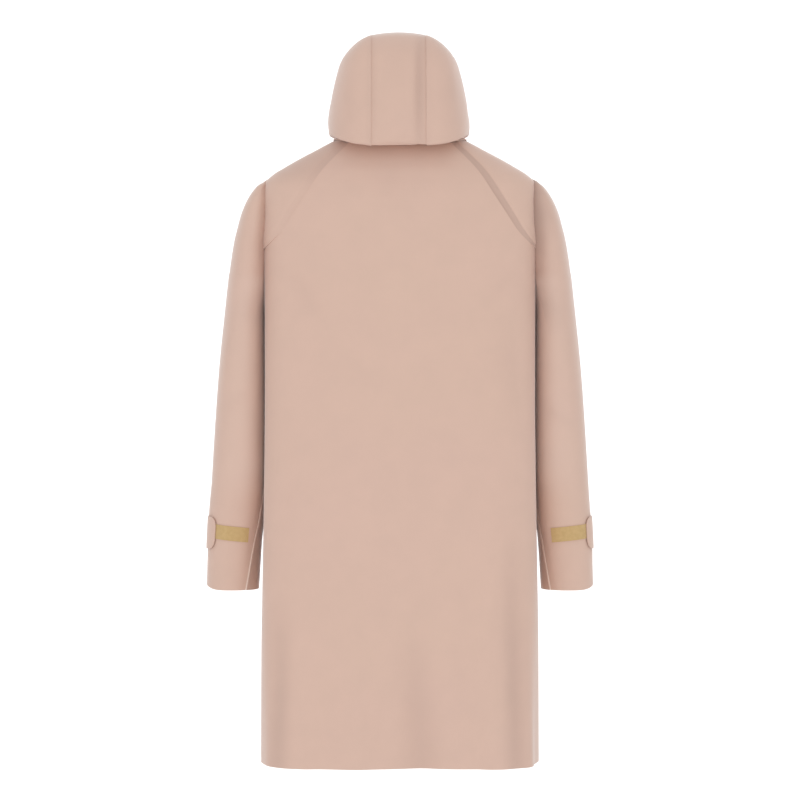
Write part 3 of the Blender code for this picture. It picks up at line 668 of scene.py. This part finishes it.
def front_panel(side):
    levels = SHOULDER_STOPS + SKIRT_STOPS
    shares = [k / FRONT_COLUMNS for k in range(FRONT_COLUMNS + 1)]
    shares[:1] = NEAR_CENTRE
    shares[-1:] = NEAR_SEAM
    rows, across, lift = [], [], []
    for level in levels:
        centre, edge = body_ring(level)[2][0], raglan_s(level, False)
        places = [mix(centre - OVERLAP_HALF, edge, share) for share in shares]
        rows.append([body_surface(side, level, s) for s in places])
        across.append([s - centre for s in places])
        lift.append([front_cover(LEFT, s - centre) if side == LEFT else 0.0 for s in places])
    panel = Panel(rows, across, levels, side)
    panel.lift += np.array(lift)
    crease(panel, FRONT_CREASES[side])
    return panel


def sleeve_columns(level):
    """The sleeve's columns at a level, as shares of the way round, closest together beside the seam."""
    level = max(level, UNDERARM_LEVEL)
    sides = []
    for at_back in (True, False):
        seam, valley = raglan_s(level, at_back), ring_s_at_y(level, valley_y(level, at_back))
        run = max(abs(seam - valley), 1e-6)
        squeeze = min(run / BAND_NEEDS, 1.0)
        near = [stop * squeeze for stop in BAND_STOPS]
        rest = [mix(near[-1], run, k / INNER_COLUMNS) for k in range(1, INNER_COLUMNS)]
        sides.append([INNER_SHARE * d / run for d in near + rest])
    outer = [mix(INNER_SHARE, 1 - INNER_SHARE, k / OUTER_COLUMNS) for k in range(OUTER_COLUMNS + 1)]
    return sides[0] + outer + [1 - v for v in reversed(sides[1])]


def sleeve_panel(side):
    levels = SHOULDER_STOPS + TUBE_STOPS
    rows, around, from_seam, past_back_valley, past_front_valley = [], [], [], [], []
    for level in levels:
        columns = sleeve_columns(level)
        row = [sleeve_point(side, level, round_from(v, SEAM_SHIFT[side].at(level, "share"))) for v in columns]
        along = np.cumsum([0.0] + [(b - a).length for a, b in zip(row, row[1:])])
        rows.append(row)
        around.append([SLEEVE_GIRTH * v for v in columns])
        from_seam.append(np.minimum(along, along[-1] - along))
        past_back_valley.append(along - along[BACK_VALLEY_COLUMN])
        past_front_valley.append(along[FRONT_VALLEY_COLUMN] - along)
    panel = Panel(rows, around, levels, -side)
    from_seam = np.array(from_seam)
    lap_raglan_seam(panel, side, from_seam)
    crease_beside_arm(panel, side, np.array(past_back_valley), BACK_VALLEY[side])
    crease_beside_arm(panel, side, np.array(past_front_valley), FRONT_VALLEY[side])
    lap_underarm_seam(panel, side, from_seam)
    crease(panel, SLEEVE_CREASES[side])
    return panel


def round_from(v, shift):
    """The column v of the sleeve, moved round by a share of its girth."""
    if abs(shift) < 1e-6:
        return v
    return (v + shift) % 1


# How far the seam is turned round the sleeve, as a share of its girth: towards the back if positive.
SEAM_SHIFT = {
    LEFT: Profile(
        ("share",), (-0.55, 0), (-0.59, 0.006), (-0.62, 0.024), (-0.65, 0.034), (-0.7, 0.028), (-0.785, 0.017)
    ),
    RIGHT: Profile(("share",), (-0.55, 0), (-0.65, 0), (-0.7, -0.006), (-0.785, -0.011)),
}
SLEEVE_GIRTH = 0.340

# The raglan seam's lap, and the band beside it where the sleeve lies double and has painted shade. Each pair
# is a start and a run.
LAP_OUT = {LEFT: 0.0011, RIGHT: 0.0016}
LAP_ENDS = (0.006, 0.016)
BAND_OUT = {LEFT: 0.0002, RIGHT: 0.0008}
BAND_ENDS = (0.0145, 0.0016)
BAND_BEGINS = (CREASE_LEVEL, 0.012)
BAND_PAINTED_SHADE = {LEFT: 0.04, RIGHT: 0.36}


def lap_raglan_seam(panel, side, from_seam):
    """The sleeve laps over the body and lies double for a band beside the seam, which gets painted shade,
    strong on the right sleeve and faint on the left.
    """
    above = rise(panel.down, *BAND_BEGINS)
    band = above * (1 - rise(from_seam, *BAND_ENDS))
    lap = LAP_OUT[side] * above * (1 - rise(from_seam, *LAP_ENDS))
    panel.lift += BAND_OUT[side] * band + lap
    # Painted shade on the band beside the seam.
    panel.painted_shade += band * BAND_PAINTED_SHADE[side]


# The underarm seam's lap, the painted light in the slit beside it, the painted shade on the left sleeve's
# top, and the painted highlight along its edge towards the cuff with painted shade beyond it.
UNDERARM_LAP = 0.0011
UNDERARM_LAP_BEGINS = (UNDERARM_LEVEL, -0.020)
UPPER_HALF_WIDTH = 0.012
UNDER_HALF_WIDTH = 0.004
UNDER_SHARE = -0.4
SLIT_PAINTED_LIGHT = 0.45
SLIT_HALF_WIDTH = 0.062
SLIT_ENDS = (-0.560, -0.080)
SHOULDER_PAINTED_SHADE = {LEFT: 0.20, RIGHT: 0.0}
SHOULDER_BEGINS = (-0.085, 0.040)
PALE_EDGE_BEGINS = (-0.585, -0.015)
PALE_EDGE_ENDS = (0.0017, 0.0008)
SEAM_PAINTED_SHADE = {LEFT: 0.35, RIGHT: 0.15}
SEAM_PAINTED_SHADE_HALF_WIDTH = 0.022


def lap_underarm_seam(panel, side, from_seam):
    """The seam's back edge laps over its front edge, with painted light in the slit beside it, a painted
    highlight along the back edge and painted shade beyond. The left sleeve's top gets painted shade.
    """
    below = rise(panel.down, *UNDERARM_LAP_BEGINS)
    back_part = panel.across < SLEEVE_GIRTH / 2
    upper, under = bump(from_seam, UPPER_HALF_WIDTH), UNDER_SHARE * bump(from_seam, UNDER_HALF_WIDTH)
    panel.lift += below * UNDERARM_LAP * np.where(back_part, upper, under)
    # Painted light in the slit between the sleeve and the body.
    panel.painted_light += below * (1 - rise(panel.down, *SLIT_ENDS)) * SLIT_PAINTED_LIGHT * bump(from_seam, SLIT_HALF_WIDTH)
    # Painted shade on the top of the left sleeve.
    panel.painted_shade += SHOULDER_PAINTED_SHADE[side] * rise(panel.down, *SHOULDER_BEGINS)
    # A painted highlight along the seam's back edge towards the cuff.
    shown = rise(panel.down, *PALE_EDGE_BEGINS)
    panel.painted_light += shown * back_part * (1 - rise(from_seam, *PALE_EDGE_ENDS))
    # Painted shade on the cloth beyond the seam's front edge.
    panel.painted_shade += shown * ~back_part * SEAM_PAINTED_SHADE[side] * bump(from_seam, SEAM_PAINTED_SHADE_HALF_WIDTH)


# The crease's half-width on the body's side, the ridge beside it there, its line of painted highlight and the
# painted light on its roll, and where its painted shade begins.
BODY_REACH = 0.0022
RIM_OFF = 0.0052
RIM_HALF_WIDTH = 0.0030
RIM_IS_FULL_AT = 0.0008
RIM_LINE_OFF = 0.0022
RIM_LINE_HALF_WIDTH = 0.0013
RIM_PAINTED_HIGHLIGHT = {LEFT: 0.40, RIGHT: 0.22}
ROLL_HALF_WIDTH = 0.012
ROLL_PAINTED_LIGHT = 0.16
SHADE_BEGINS = (-0.0008, 0.0012)


def crease_beside_arm(panel, side, past, table):
    """The crease where the arm leaves the body, with a painted highlight and painted light on the body's side
    and painted shade on the arm's side. past is how far towards the arm a point lies from it.
    """
    levels = panel.down[:, 0]
    depth, reach, rim, shade, shade_reach = (
        np.array([[table.at(level, name)] for level in levels]) for name in VALLEY_COLUMNS
    )
    panel.lift -= depth * np.where(past < 0, bump(past, BODY_REACH), bump(past, reach))
    panel.lift += rim * bump(past + RIM_OFF, RIM_HALF_WIDTH)
    # A line of painted highlight on the ridge, and painted light over the roll beside the crease.
    line = RIM_PAINTED_HIGHLIGHT[side] * bump(past + RIM_LINE_OFF, RIM_LINE_HALF_WIDTH)
    on_rim = rise(rim, 0, RIM_IS_FULL_AT) * (past < 0)
    panel.painted_light += on_rim * (line + ROLL_PAINTED_LIGHT * bump(past, ROLL_HALF_WIDTH))
    # Painted shade on the arm's side of the crease.
    panel.painted_shade += shade * rise(past, *SHADE_BEGINS) * bump(past, shade_reach)


# The crease beside each arm by level. Reach is its half-width on the arm's side, rim a ridge's height, and
# shade the painted shade on the arm's side over shade_reach.
VALLEY_COLUMNS = ("depth", "reach", "rim", "shade", "shade_reach")
BACK_VALLEY = {
    LEFT: Profile(
        VALLEY_COLUMNS,
        (-0.066, 0, 0.004, 0, 0, 0.004),
        (-0.078, 0.002, 0.004, 0.0008, 0.2, 0.004),
        (-0.1, 0.0032, 0.004, 0.0012, 0.3, 0.004),
        (-0.16, 0.0034, 0.004, 0.001, 0.2, 0.004),
        (-0.186, 0.003, 0.004, 0, 0.15, 0.004),
        (-0.205, 0.002, 0.004, 0, 0.1, 0.004),
        (-0.26, 0, 0.005, 0, 0, 0.005),
    ),
    RIGHT: Profile(
        VALLEY_COLUMNS,
        (-0.066, 0, 0.01, 0, 0, 0.014),
        (-0.078, 0.004, 0.011, 0.0006, 0.8, 0.015),
        (-0.1, 0.008, 0.013, 0.0012, 1, 0.018),
        (-0.14, 0.009, 0.013, 0.0012, 0.95, 0.026),
        (-0.186, 0.008, 0.012, 0.0006, 0.8, 0.026),
        (-0.215, 0.005, 0.012, 0, 0.5, 0.03),
        (-0.29, 0, 0.012, 0, 0.28, 0.04),
        (-0.345, 0, 0.012, 0, 0, 0.03),
    ),
}
FRONT_VALLEY = {
    side: Profile(
        VALLEY_COLUMNS,
        (-0.075, 0, 0.008, 0, 0, 0.01),
        (-0.11, 0.004 * share, 0.009, 0.0004, 0.12, 0.01),
        (-0.165, 0.005 * share, 0.009, 0.0006, 0.12, 0.01),
        (-0.2, 0.002 * share, 0.007, 0, 0.08, 0.01),
        (-0.24, 0, 0.006, 0, 0, 0.01),
    )
    for side, share in ((LEFT, 1), (RIGHT, 0.8))
}

# Around is from the seam's back edge over the outer side to its front edge.
SLEEVE_CREASES = {
    LEFT: (
        # start_around, start_down, end_around, end_down, half_width, height
        (0.235, -0.4, 0.3, -0.44, 0.009, -0.003),
        (0.225, -0.455, 0.31, -0.47, 0.01, -0.0036),
        (0.24, -0.51, 0.305, -0.49, 0.009, -0.0026),
        (0.07, -0.43, 0.11, -0.475, 0.012, -0.0014),
        (0.085, -0.25, 0.12, -0.42, 0.018, -0.0016),
        (0.215, -0.18, 0.27, -0.33, 0.014, -0.0024),
        (0.15, -0.6, 0.11, -0.7, 0.014, -0.0012),
        (0.23, -0.65, 0.255, -0.76, 0.012, -0.0016),
    ),
    RIGHT: (
        (0.23, -0.415, 0.305, -0.435, 0.01, -0.0032),
        (0.235, -0.475, 0.3, -0.455, 0.009, -0.0028),
        (0.22, -0.5, 0.31, -0.525, 0.01, -0.003),
        (0.06, -0.46, 0.105, -0.5, 0.013, -0.0015),
        (0.09, -0.27, 0.105, -0.45, 0.02, -0.0016),
        (0.22, -0.17, 0.26, -0.31, 0.013, -0.0022),
        (0.14, -0.64, 0.115, -0.74, 0.013, -0.0012),
        (0.24, -0.62, 0.235, -0.73, 0.012, -0.0018),
    ),
}


# The hood's sides: how far they reach below the neck edge, their lean, and the groove beside the strip with
# painted shade along it.
NECK_LAP = 0.005
HOOD_LEAN = 0.0022
HOOD_SIDE_ACROSS = 0.28
FOOT_ROW = 0.004
HOOD_GROOVE = {LEFT: -0.0018, RIGHT: -0.0008}
HOOD_GROOVE_HALF_WIDTH = 0.007
HOOD_GROOVE_ENDS = (0.125, 0.035)
HOOD_SEAM_PAINTED_SHADE = {LEFT: 0.10, RIGHT: 0.06}
HOOD_SEAM_PAINTED_SHADE_HALF_WIDTH = 0.008
HOOD_CREASES = {
    LEFT: (
        (0.075, 0.02, 0.09, 0.12, 0.018, -0.0016),
        (0.19, 0.01, 0.23, 0.09, 0.016, -0.0024),
    ),
    RIGHT: (
        (-0.08, 0.03, -0.1, 0.13, 0.02, -0.002),
        (-0.18, 0, -0.24, 0.07, 0.014, -0.0026),
    ),
}


def hood_side_panel(side):
    foot = even(hood_curve(side, HOOD_FOOT), HOOD_COLUMNS)
    columns = [fold_and_lip(p, neck_edge(side, j / HOOD_COLUMNS)) for j, p in enumerate(foot)]
    lapped = [neck_edge(side, j / HOOD_COLUMNS, NECK_LAP) for j in range(HOOD_COLUMNS + 1)]
    rows = [lapped] + [list(row) for row in zip(*columns)][::-1]
    down = [HOOD_FOOT - FOOT_ROW * k for k in range(len(rows) - 1, -1, -1)]
    for level in HOOD_STOPS:
        rows.append(even(hood_curve(side, level), HOOD_COLUMNS))
        down.append(level)
    one_row = [side * (STRIP_HALF + HOOD_SIDE_ACROSS * j / HOOD_COLUMNS) for j in range(HOOD_COLUMNS + 1)]
    panel = Panel(rows, [one_row] * len(rows), down, side)
    lean_over(panel)
    beside = np.abs(panel.across) - STRIP_HALF
    fading = 1 - rise(panel.down, *HOOD_GROOVE_ENDS)
    panel.lift += HOOD_GROOVE[side] * bump(beside, HOOD_GROOVE_HALF_WIDTH) * fading
    # Painted shade on the side panel beside the strip's seam.
    panel.painted_shade += HOOD_SEAM_PAINTED_SHADE[side] * bump(beside, HOOD_SEAM_PAINTED_SHADE_HALF_WIDTH)
    crease(panel, HOOD_CREASES[side])
    return panel


def lean_over(panel):
    """The hood lies a little to the wearer's left of the neck it is sewn to."""
    leaning = rise(np.arange(len(panel.points)), 1, ROLL_STEPS + LIP_STEPS)
    panel.points[..., 0] += HOOD_LEAN * leaning[:, None]


# How far the strip reaches over the side panels and lies out of them, and how its crown grows.
LAP = 0.0028
HOOD_LAP_OUT = {LEFT: 0.0010, RIGHT: 0.0014}
CROWN_FROM_ROW = ROLL_STEPS + LIP_STEPS - 1
CROWN_ROWS = 6
STRIP_STARTS_AT = -0.02
# Bands of painted shade on the strip beside its seams.
STRIP_PAINTED_SHADES = (
    # across, half_width, painted shade
    (-0.038, 0.009, 0.14),
    (STRIP_HALF, 0.007, 0.08),
)
STRIP_CREASES = (
    # start_across, start_down, end_across, end_down, half_width, height
    (-0.036, 0.255, -0.034, 0.034, 0.0085, -0.0042),
    (0.043, 0.25, 0.042, 0.034, 0.006, -0.001),
)


def hood_strip_panel():
    """The centre strip lies between the two side panels and laps over their edges."""
    edges = {}
    for side in SIDE_NAMES:
        panel = hood_side_panel(side)
        panel.settle()
        grid, normals = panel.points, panel.normals()
        edge = np.concatenate([grid[:, 0], grid[-1, 1:]])
        inner = np.concatenate([grid[:, 1], grid[-2, 1:]]) - edge
        out = np.concatenate([normals[:, 0], normals[-1, 1:]])
        hinge = edge + out * HOOD_LAP_OUT[side]
        tip = hinge + inner / np.linalg.norm(inner, axis=1, keepdims=True) * LAP
        edges[side] = hinge, tip
    rows, across = [], []
    edge = [Vector(p) for p in edges[LEFT][0]]
    for k, (left, left_tip, right, right_tip) in enumerate(zip(*edges[LEFT], *edges[RIGHT])):
        away = Vector((0, left[1], left[2] - HOOD_MIDDLE_Z)).normalized()
        crown = STRIP_CROWN * ease((k - CROWN_FROM_ROW) / CROWN_ROWS)
        row, places = [left_tip], [STRIP_HALF + LAP]
        for j in range(STRIP_COLUMNS + 1):
            share = 1 - 2 * j / STRIP_COLUMNS
            row.append(mix(right, left, (share + 1) / 2) + np.array(away) * crown * (1 - share**2))
            places.append(STRIP_HALF * share)
        rows.append([*row, right_tip])
        across.append([*places, -STRIP_HALF - LAP])
    down = [STRIP_STARTS_AT]
    for a, b in zip(edge, edge[1:]):
        down.append(down[-1] + (b - a).length)
    panel = Panel(rows, across, down, 1)
    crease(panel, STRIP_CREASES)
    # The strip's bands of painted shade.
    for place, half_width, painted_shade in STRIP_PAINTED_SHADES:
        panel.painted_shade += painted_shade * bump(panel.across - place, half_width)
    return panel


def on_sleeve(side, level, degrees, out):
    """A point on the sleeve's form at a level and an angle, moved out of it."""
    angle = math.radians(degrees)
    turn = NUDGE / SLEEVE.at(level, "half_depth")
    here = tube_surface(side, level, angle)
    up = tube_surface(side, level + NUDGE, angle) - tube_surface(side, level - NUDGE, angle)
    round_it = tube_surface(side, level, angle + turn) - tube_surface(side, level, angle - turn)
    return here + up.cross(round_it).normalized() * out * side


def evenly_round(side, start_deg, end_deg):
    """Angles round the sleeve at the strap's height, and each one's distance from the start."""
    fine = np.linspace(start_deg, end_deg, 400)
    places = [tube_surface(side, TAB_MIDDLE_Z, math.radians(a)) for a in fine]
    run = np.concatenate([[0], np.cumsum([(b - a).length for a, b in zip(places, places[1:])])])
    at = np.linspace(0, run[-1], int(run[-1] / CUFF_PIECE_STEP) + 1)
    return list(np.interp(at, run, fine)), list(at)


def spread(half, count):
    """Evenly spaced heights from half above the middle to half below it."""
    return [mix(half, -half, k / count) for k in range(count + 1)]


def tab_panel(side):
    angles, run = evenly_round(side, TAB_END_DEG[side], TAB_ROOT_DEG)
    rows = []
    for angle, along in zip(angles, run):
        from_corner = max(TAB_CORNER - along, 0.0)
        half = TAB_HALF_HEIGHT - TAB_CORNER + math.sqrt(TAB_CORNER**2 - from_corner**2)
        lowered = ease((angle - TAPE_ROOT_DEG) / (TAB_LIES_CLOSE_BY_DEG - TAPE_ROOT_DEG))
        out = mix(TAB_OUT_END, TAB_OUT_ROOT, lowered)
        rows.append([on_sleeve(side, TAB_MIDDLE_Z + h, angle, out) for h in spread(half, TAB_COLUMNS)])
    across = [spread(TAB_HALF_HEIGHT, TAB_COLUMNS)] * len(rows)
    return Panel(rows, across, [-r for r in run], side)


def tape_panel(side):
    angles, run = evenly_round(side, TAPE_END_DEG, TAPE_ROOT_DEG)
    heights = spread(TAPE_HALF_HEIGHT, TAPE_COLUMNS)
    rows = []
    for angle, along in zip(angles, run):
        middle = mix(TAPE_END_Z, TAPE_ROOT_Z, along / run[-1])
        rows.append([on_sleeve(side, middle + h, angle, TAPE_OUT) for h in heights])
    return Panel(rows, [heights] * len(rows), [-r for r in run], side)


# Objects.


def new_object(name, data):
    thing = bpy.data.objects.new(name, data)
    bpy.context.scene.collection.objects.link(thing)
    return thing


SHARP_FROM_DEG = 50


def make_cloth(name, panel, wall, material):
    """A panel as a mesh with its wall, riding on the root."""
    panel.settle()
    height, width = panel.points.shape[:2]
    index = np.arange(height * width).reshape(height, width)
    corners = (index[:-1, :-1], index[:-1, 1:], index[1:, 1:], index[1:, :-1])
    order = corners if panel.outside > 0 else corners[::-1]
    faces = np.stack([c.ravel() for c in order], axis=1)
    data = bpy.data.meshes.new(name)
    data.from_pydata(panel.points.reshape(-1, 3).tolist(), [], faces.tolist())
    # The panels' painted light and painted shade go with the mesh as attributes.
    for key, values in (("painted_light", panel.painted_light), ("painted_shade", panel.painted_shade)):
        layer = data.attributes.new(key, "FLOAT", "POINT")
        layer.data.foreach_set("value", np.clip(values, 0, 1).astype(np.float32).ravel())
    cut = np.stack([panel.across, panel.down, np.zeros_like(panel.down)], axis=2).astype(np.float32)
    data.attributes.new("cut", "FLOAT_VECTOR", "POINT").data.foreach_set("vector", cut.ravel())
    sheet = new_object(name, data)
    solidify = sheet.modifiers.new("Cloth", "SOLIDIFY")
    solidify.thickness = wall
    solidify.offset = 0
    thick = bpy.data.meshes.new_from_object(sheet.evaluated_get(bpy.context.evaluated_depsgraph_get()))
    sheet.modifiers.clear()
    sheet.data = thick
    bpy.data.meshes.remove(data)
    thick.name = name
    thick.shade_smooth()
    thick.set_sharp_from_angle(angle=math.radians(SHARP_FROM_DEG))
    thick.materials.append(material)
    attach(sheet, "root")
    return sheet


def new_material(name):
    material = bpy.data.materials.new(name)
    material.use_nodes = True
    tree = material.node_tree
    return material, tree, tree.nodes["Principled BSDF"]


def add_node(tree, kind, inputs=None, **settings):
    node = tree.nodes.new(kind)
    for key, value in settings.items():
        setattr(node, key, value)
    for key, value in (inputs or {}).items():
        node.inputs[key].default_value = value
    return node


# Places of the sockets that have no name of their own.
MIX_AMOUNT, MIX_ONE, MIX_OTHER, MIX_COLOUR = 0, 6, 7, 2
FROM_LOW, FROM_HIGH, TO_LOW, TO_HIGH = 1, 2, 3, 4


def mix_colours(tree, amount, one, other, **settings):
    """The colour from a mix node. Each of the three is another node's socket or a fixed value."""
    node = add_node(tree, "ShaderNodeMix", data_type="RGBA", **settings)
    for place, value in ((MIX_AMOUNT, amount), (MIX_ONE, one), (MIX_OTHER, other)):
        if isinstance(value, bpy.types.NodeSocket):
            tree.links.new(value, node.inputs[place])
        else:
            node.inputs[place].default_value = value
    return node.outputs[MIX_COLOUR]


def noise_between(tree, noise, low, high):
    """The middle of a noise's span, spread from low to high."""
    node = add_node(tree, "ShaderNodeMapRange", {FROM_LOW: 0.3, FROM_HIGH: 0.7, TO_LOW: low, TO_HIGH: high})
    tree.links.new(noise, node.inputs[0])
    return node.outputs[0]


def attribute(tree, name, output):
    return add_node(tree, "ShaderNodeAttribute", attribute_name=name).outputs[output]


CLOTH_PINK = (0.668, 0.460, 0.384, 1)
CLOTH_SAND = (0.664, 0.468, 0.376, 1)
# The colours that painted shade and painted light mix towards.
CLOTH_PAINTED_SHADE = (0.385, 0.262, 0.222, 1)
CLOTH_PAINTED_LIGHT = (0.930, 0.800, 0.720, 1)
THREADS = {"Scale": 380.0, "Distortion": 0.6, "Detail": 1.0}


def cloth_material():
    """Cloth with painted shade and painted light where its panel says, with a fine weave and a soft
    unevenness.
    """
    material, tree, shader = new_material("coat_cloth")
    link = tree.links.new
    place = add_node(tree, "ShaderNodeTexCoord")
    broad = add_node(tree, "ShaderNodeTexNoise", {"Scale": 5.0, "Detail": 2.0, "Roughness": 0.5})
    close = add_node(tree, "ShaderNodeTexNoise", {"Scale": 24.0, "Detail": 3.0, "Roughness": 0.55})
    for node in (broad, close):
        link(place.outputs["Object"], node.inputs["Vector"])
    tone = mix_colours(tree, broad.outputs["Fac"], CLOTH_PINK, CLOTH_SAND)
    speck = noise_between(tree, close.outputs["Fac"], 0.985, 1.015)
    toned = mix_colours(tree, 1.0, tone, speck, blend_type="MULTIPLY")
    # Painted shade, then painted light, mixed into the cloth's colour.
    shaded = mix_colours(tree, attribute(tree, "painted_shade", "Fac"), toned, CLOTH_PAINTED_SHADE)
    with_painted_light = mix_colours(tree, attribute(tree, "painted_light", "Fac"), shaded, CLOTH_PAINTED_LIGHT)
    link(with_painted_light, shader.inputs["Base Color"])
    weave = add_node(tree, "ShaderNodeMath", operation="MULTIPLY")
    cut = attribute(tree, "cut", "Vector")
    for way, factor in zip("XY", weave.inputs):
        threads = add_node(tree, "ShaderNodeTexWave", THREADS, bands_direction=way)
        link(cut, threads.inputs["Vector"])
        link(threads.outputs["Fac"], factor)
    fine = add_node(tree, "ShaderNodeBump", {"Strength": 0.16, "Distance": 0.00025})
    link(weave.outputs[0], fine.inputs["Height"])
    soft = add_node(tree, "ShaderNodeBump", {"Strength": 0.25, "Distance": 0.0012})
    link(close.outputs["Fac"], soft.inputs["Height"])
    link(fine.outputs["Normal"], soft.inputs["Normal"])
    link(soft.outputs["Normal"], shader.inputs["Normal"])
    link(noise_between(tree, close.outputs["Fac"], 0.60, 0.72), shader.inputs["Roughness"])
    shader.inputs["Specular IOR Level"].default_value = 0.28
    shader.inputs["Sheen Weight"].default_value = 0.55
    shader.inputs["Sheen Roughness"].default_value = 0.4
    return material


TAPE_DARK = (0.520, 0.345, 0.150, 1)
TAPE_LIGHT = (0.640, 0.450, 0.225, 1)


def tape_material():
    """Ochre tape with a dense pile of loops."""
    material, tree, shader = new_material("loop_tape")
    link = tree.links.new
    place = add_node(tree, "ShaderNodeTexCoord")
    loops = add_node(tree, "ShaderNodeTexVoronoi", {"Scale": 1400.0})
    patch = add_node(tree, "ShaderNodeTexNoise", {"Scale": 160.0, "Detail": 3.0})
    for node in (loops, patch):
        link(place.outputs["Object"], node.inputs["Vector"])
    link(mix_colours(tree, patch.outputs["Fac"], TAPE_DARK, TAPE_LIGHT), shader.inputs["Base Color"])
    pile = add_node(tree, "ShaderNodeBump", {"Strength": 0.5, "Distance": 0.0005})
    link(loops.outputs["Distance"], pile.inputs["Height"])
    link(pile.outputs["Normal"], shader.inputs["Normal"])
    shader.inputs["Roughness"].default_value = 0.9
    shader.inputs["Specular IOR Level"].default_value = 0.2
    shader.inputs["Sheen Weight"].default_value = 0.25
    return material


# The camera, floor and light.

CAMERA_DISTANCE = 4.0
CAMERA_HEIGHT = -0.453
METRES_PER_PIXEL = 0.00175
FRAME_PIXELS = 800
SENSOR = 36.0
FARTHEST_SEEN = 60


def make_camera():
    camera = bpy.data.cameras.new("camera")
    camera.sensor_width = SENSOR
    camera.lens = CAMERA_DISTANCE / METRES_PER_PIXEL * SENSOR / FRAME_PIXELS
    camera.clip_end = FARTHEST_SEEN
    holder = new_object("camera", camera)
    holder.location = (0, CAMERA_DISTANCE, CAMERA_HEIGHT)
    holder.rotation_euler = (math.radians(90), 0, math.radians(180))
    bpy.context.scene.camera = holder


FLOOR_DARK = (0.90, 0.90, 0.90, 1)
FLOOR_PALE = (0.93, 0.93, 0.93, 1)
FLOOR_Z = -2.20
FLOOR_HALF_WIDTH = 14.0
FLOOR_FRONT = 12.0
BACKDROP_Y = -7.0
BACKDROP_CURVE = 3.5
BACKDROP_TOP = 9.0
BACKDROP_STEPS = 32


def make_stage():
    """A pale floor, far below the hem, that sweeps up into a plain backdrop behind the coat."""
    profile = [(FLOOR_FRONT, FLOOR_Z)]
    for k in range(BACKDROP_STEPS + 1):
        turn = math.pi / 2 * k / BACKDROP_STEPS
        y = BACKDROP_Y - BACKDROP_CURVE * math.sin(turn)
        profile.append((y, FLOOR_Z + BACKDROP_CURVE * (1 - math.cos(turn))))
    profile.append((profile[-1][0], BACKDROP_TOP))
    points = [(x, y, z) for y, z in profile for x in (-FLOOR_HALF_WIDTH, FLOOR_HALF_WIDTH)]
    faces = [(2 * k, 2 * k + 1, 2 * k + 3, 2 * k + 2) for k in range(len(profile) - 1)]
    data = bpy.data.meshes.new("floor")
    data.from_pydata(points, [], faces)
    data.shade_smooth()
    floor = new_object("floor", data)
    material, tree, shader = new_material("floor")
    grain = add_node(tree, "ShaderNodeTexNoise", {"Scale": 3.0, "Detail": 2.0})
    tone = mix_colours(tree, grain.outputs["Fac"], FLOOR_DARK, FLOOR_PALE)
    tree.links.new(tone, shader.inputs["Base Color"])
    shader.inputs["Roughness"].default_value = 0.9
    data.materials.append(material)


def make_light(name, place, target, size, power):
    light = bpy.data.lights.new(name, "AREA")
    light.shape = "RECTANGLE"
    light.size, light.size_y = size
    light.energy = power
    lamp = new_object(name, light)
    lamp.location = place
    lamp.rotation_euler = (Vector(target) - Vector(place)).to_track_quat("-Z", "Y").to_euler()
    lamp.visible_camera = False


LIGHTS = (
    # name, place, target, size, watts
    ("key", (0.9, 3.2, -0.3), (0, 0, -0.5), (1.8, 1.8), 13),
    ("fill", (-1.6, 2.8, -0.5), (0, 0, -0.5), (1.4, 1.8), 5),
    ("front", (-1.2, -3, 0.6), (0, 0, -0.5), (2, 2), 12),
    ("backdrop", (0, -4, 4), (0, -9, 0), (6, 2), 330),
)
WORLD_STRENGTH = 0.86


def make_light_and_world():
    for light in LIGHTS:
        make_light(*light)
    world = bpy.data.worlds.new("studio")
    world.use_nodes = True
    background = world.node_tree.nodes["Background"]
    background.inputs["Color"].default_value = (1, 1, 1, 1)
    background.inputs["Strength"].default_value = WORLD_STRENGTH
    bpy.context.scene.world = world
    bpy.context.scene.view_settings.view_transform = "Standard"


def main():
    make_camera()
    cloth, tape = cloth_material(), tape_material()
    panels = {"back": back_panel(), "hood_centre": hood_strip_panel()}
    for side, name in SIDE_NAMES.items():
        panels[f"front_{name}"] = front_panel(side)
        panels[f"sleeve_{name}"] = sleeve_panel(side)
        panels[f"hood_side_{name}"] = hood_side_panel(side)
        panels[f"cuff_tab_{name}"] = tab_panel(side)
        panels[f"cuff_strip_{name}"] = tape_panel(side)
    for node, panel in panels.items():
        kind = node.removesuffix("_left").removesuffix("_right")
        wall, material, slot = CLOTH_WALL, cloth, "coat_cloth"
        if kind == "cuff_strip":
            wall, material, slot = TAPE_WALL, tape, "loop_tape"
        piece = make_cloth(f"{node}_cloth", panel, wall, material)
        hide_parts(node)
    make_stage()
    make_light_and_world()


main()
